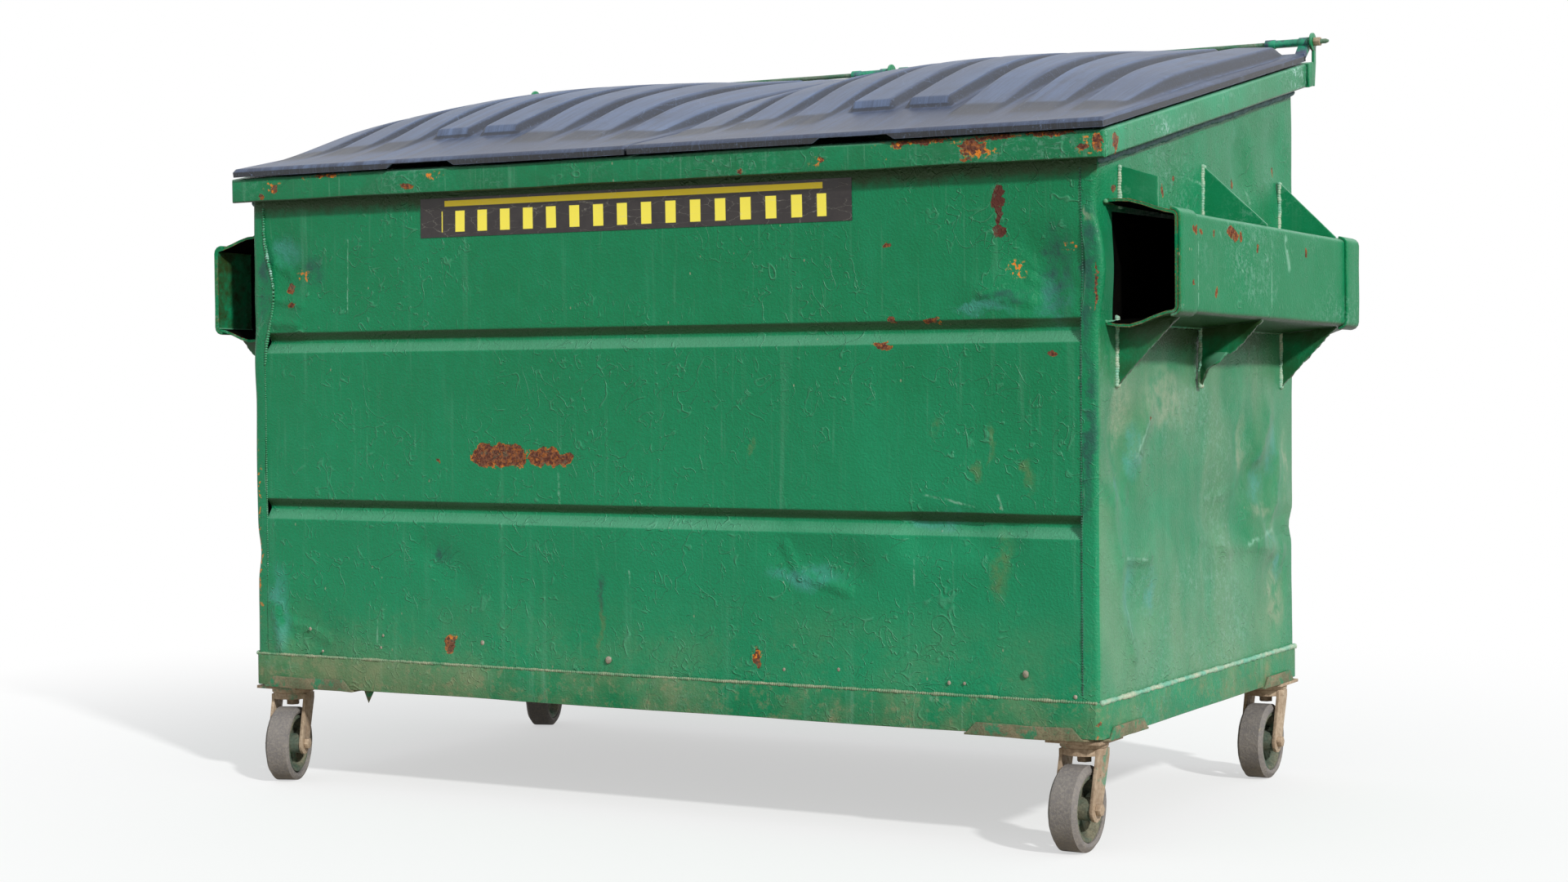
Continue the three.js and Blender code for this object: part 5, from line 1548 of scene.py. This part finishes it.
class AddMarker(ContainerPiece, Operator):
    """Level marker strip on the front sheet, without words."""

    bl_idname = "container.add_marker"
    bl_label = "Level marker"

    def make(self):
        low, high = Vector((-0.4895, FRONT, 1.079)), Vector((0.4535, FRONT, 1.154))
        bpy.ops.mesh.primitive_grid_add(x_subdivisions=90, y_subdivisions=8, size=1)
        strip = bpy.context.active_object
        strip.name = "level_marker"
        strip.matrix_world = (
            Matrix.Translation(((low.x + high.x) / 2, FRONT - 0.02, (low.z + high.z) / 2))
            @ Matrix.Rotation(math.pi / 2, 4, "X")
            @ Matrix.Diagonal((high.x - low.x, high.z - low.z, 1, 1)))
        bake(strip)
        add_modifier(strip, "SHRINKWRAP", target=bpy.data.objects["dented_front_wall"], wrap_method="PROJECT",
                     use_project_y=True, use_positive_direction=True, use_negative_direction=True,
                     offset=0.0004)
        add_modifier(strip, "SOLIDIFY", thickness=0.0006, offset=1)
        smooth(strip, 40)
        dress(strip, "Level marker")
        settle(strip, "bin")


class AddScraps(ContainerPiece, Operator):
    """Bent scrap under the front edge and the small studs low on the front."""

    bl_idname = "container.add_scraps"
    bl_label = "Scrap and studs"

    def make(self):
        bpy.ops.mesh.primitive_cone_add(vertices=3, radius1=0.02, depth=0.034)
        scrap = bpy.context.active_object
        scrap.name = "hanging_scrap"
        scrap.matrix_world = (
            Matrix.Translation((-0.648, FRONT + 0.02, PAN_LOW - 0.012))
            @ Matrix.Rotation(math.pi, 4, "X") @ Matrix.Diagonal((1, 0.25, 1, 1)))
        bake(scrap)
        soften(scrap, 0.0008)
        dress(scrap, "Pad steel")
        settle(scrap, "bin")
        places = (
            (0.309, 0.284, 0.003), (0.42, 0.289, 0.003), (0.636, 0.277, 0.0035), (0.665, 0.277, 0.003),
            (0.78, 0.299, 0.006), (0.871, 0.265, 0.0035), (-0.777, 0.311, 0.0035), (-0.594, 0.306, 0.003),
            (-0.599, 0.282, 0.003), (-0.746, 0.268, 0.003), (-0.354, 0.302, 0.0045), (-0.066, 0.283, 0.007))
        studs = []
        for x, z, radius in places:
            bpy.ops.mesh.primitive_uv_sphere_add(segments=10, ring_count=6, radius=radius)
            stud = bpy.context.active_object
            stud.matrix_world = Matrix.Translation((x, FRONT, z)) @ Matrix.Diagonal((1, 0.5, 1.1, 1))
            bake(stud)
            studs.append(stud)
        joined = join(studs, "front_studs")
        displace(joined, 0.01, 0.003)
        bpy.ops.object.shade_smooth()
        dress(joined, "Stud steel")
        settle(joined, "bin")


class SetStage(ContainerPiece, Operator):
    """Camera, lamps and floor."""

    bl_idname = "container.set_stage"
    bl_label = "Stage"

    def make(self):
        stage = bpy.context.scene.container_stage
        self.camera(stage)
        self.lamps(stage)
        self.floor(stage)
        bpy.context.scene.view_settings.view_transform = "Standard"

    def camera(self, stage):
        data = bpy.data.cameras.new("Camera")
        camera = bpy.data.objects.new("Camera", data)
        bpy.context.scene.collection.objects.link(camera)
        data.lens, data.sensor_width, data.clip_end = stage.lens, 36.0, 100.0
        place = Vector(stage.camera_place) + Vector((0, FRONT, 0))
        camera.matrix_world = (
            Matrix.Translation(place) @ Matrix.Rotation(stage.camera_turn, 4, "Z")
            @ Matrix.Rotation(math.pi / 2 + stage.camera_pitch, 4, "X")
            @ Matrix.Rotation(stage.camera_roll, 4, "Z"))
        bpy.context.scene.camera = camera

    def lamps(self, stage):
        sun = bpy.data.lights.new("Key", "SUN")
        sun.energy, sun.angle = stage.sun, stage.sun_angle
        lamp = bpy.data.objects.new("Key", sun)
        bpy.context.scene.collection.objects.link(lamp)
        flat = math.cos(stage.sun_rise)
        toward = Vector((
            math.sin(stage.sun_turn) * flat, -math.cos(stage.sun_turn) * flat, math.sin(stage.sun_rise)))
        lamp.matrix_world = toward.to_track_quat("Z", "Y").to_matrix().to_4x4()
        world = bpy.data.worlds.new("Sky")
        bpy.context.scene.world = world
        world.use_nodes = True
        tree = world.node_tree
        tree.nodes.clear()
        seen = seen_rays(tree)
        light = add_node(tree, "Background", {"Color": (0.93, 0.96, 1.0), "Strength": stage.sky})
        white = add_node(tree, "Background", {"Color": (1, 1, 1), "Strength": 1.0})
        both = add_node(tree, "MixShader", {0: seen, 1: light.outputs[0], 2: white.outputs[0]})
        out = tree.nodes.new("ShaderNodeOutputWorld")
        tree.links.new(both.outputs[0], out.inputs["Surface"])

    def floor(self, stage):
        bpy.ops.mesh.primitive_plane_add(size=60)
        floor = bpy.context.active_object
        floor.name = "floor"
        material, tree, shader, place = new_material("Pale floor")
        seen = seen_rays(tree)
        tree.links.new(blend(tree, seen, stage.bounce, stage.ground), shader.inputs["Base Color"])
        shader.inputs["Roughness"].default_value = 0.9
        shader.inputs["Specular IOR Level"].default_value = 0.1
        reach = measure(tree, "LENGTH", place)
        far = calc(tree, "ADD", scaled(tree, rise(tree, reach, 1.0, 3.2), 0.45), 0.55)
        share = times(tree, seen, far)
        white = add_node(tree, "Emission", {"Color": (1, 1, 1), "Strength": 1.0})
        both = add_node(tree, "MixShader", {0: share, 1: shader.outputs[0], 2: white.outputs[0]})
        tree.links.new(both.outputs[0], tree.nodes["Material Output"].inputs["Surface"])
        floor.data.materials.append(material)


class ContainerPanel(Panel):
    """Lists the parts of the container and their settings."""

    bl_idname = "VIEW3D_PT_container"
    bl_label = "Container"
    bl_space_type = "VIEW_3D"
    bl_region_type = "UI"
    bl_category = "Container"

    def draw(self, context):
        for step in STEPS:
            self.layout.operator(step.bl_idname)
        for group in GROUPS:
            settings = getattr(context.scene, group)
            box = self.layout.box()
            for name in settings.__annotations__:
                box.prop(settings, name)


STEPS = (DressWalls, DressRims, DressLids, DressPockets, DressFittings, DressCasters, AddWelds, AddMarker,
         AddScraps, SetStage)
GROUPS = {
    "container_colours": ContainerColours, "container_sizes": ContainerSizes,
    "container_stage": ContainerStage}


def register():
    """Registers the settings, the operators and the panel."""
    for kind in (*GROUPS.values(), *STEPS, ContainerPanel):
        bpy.utils.register_class(kind)
    for name, kind in GROUPS.items():
        setattr(bpy.types.Scene, name, PointerProperty(type=kind))


def unregister():
    """Takes out what register put in."""
    for name in GROUPS:
        delattr(bpy.types.Scene, name)
    for kind in (*GROUPS.values(), *STEPS, ContainerPanel):
        bpy.utils.unregister_class(kind)


def main():
    """Builds the materials and every piece."""
    register()
    for group in (faded_paint_group, rust_group, edge_group, dust_group, spot_group, scrape_group,
                  line_group):
        group()
    make_materials()
    bpy.ops.container.dress_walls()
    bpy.ops.container.dress_rims()
    bpy.ops.container.dress_lids()
    bpy.ops.container.dress_pockets()
    bpy.ops.container.dress_fittings()
    bpy.ops.container.dress_casters()
    bpy.ops.container.add_welds()
    bpy.ops.container.add_marker()
    bpy.ops.container.add_scraps()
    bpy.ops.container.set_stage()


if __name__ == "__main__":
    main()
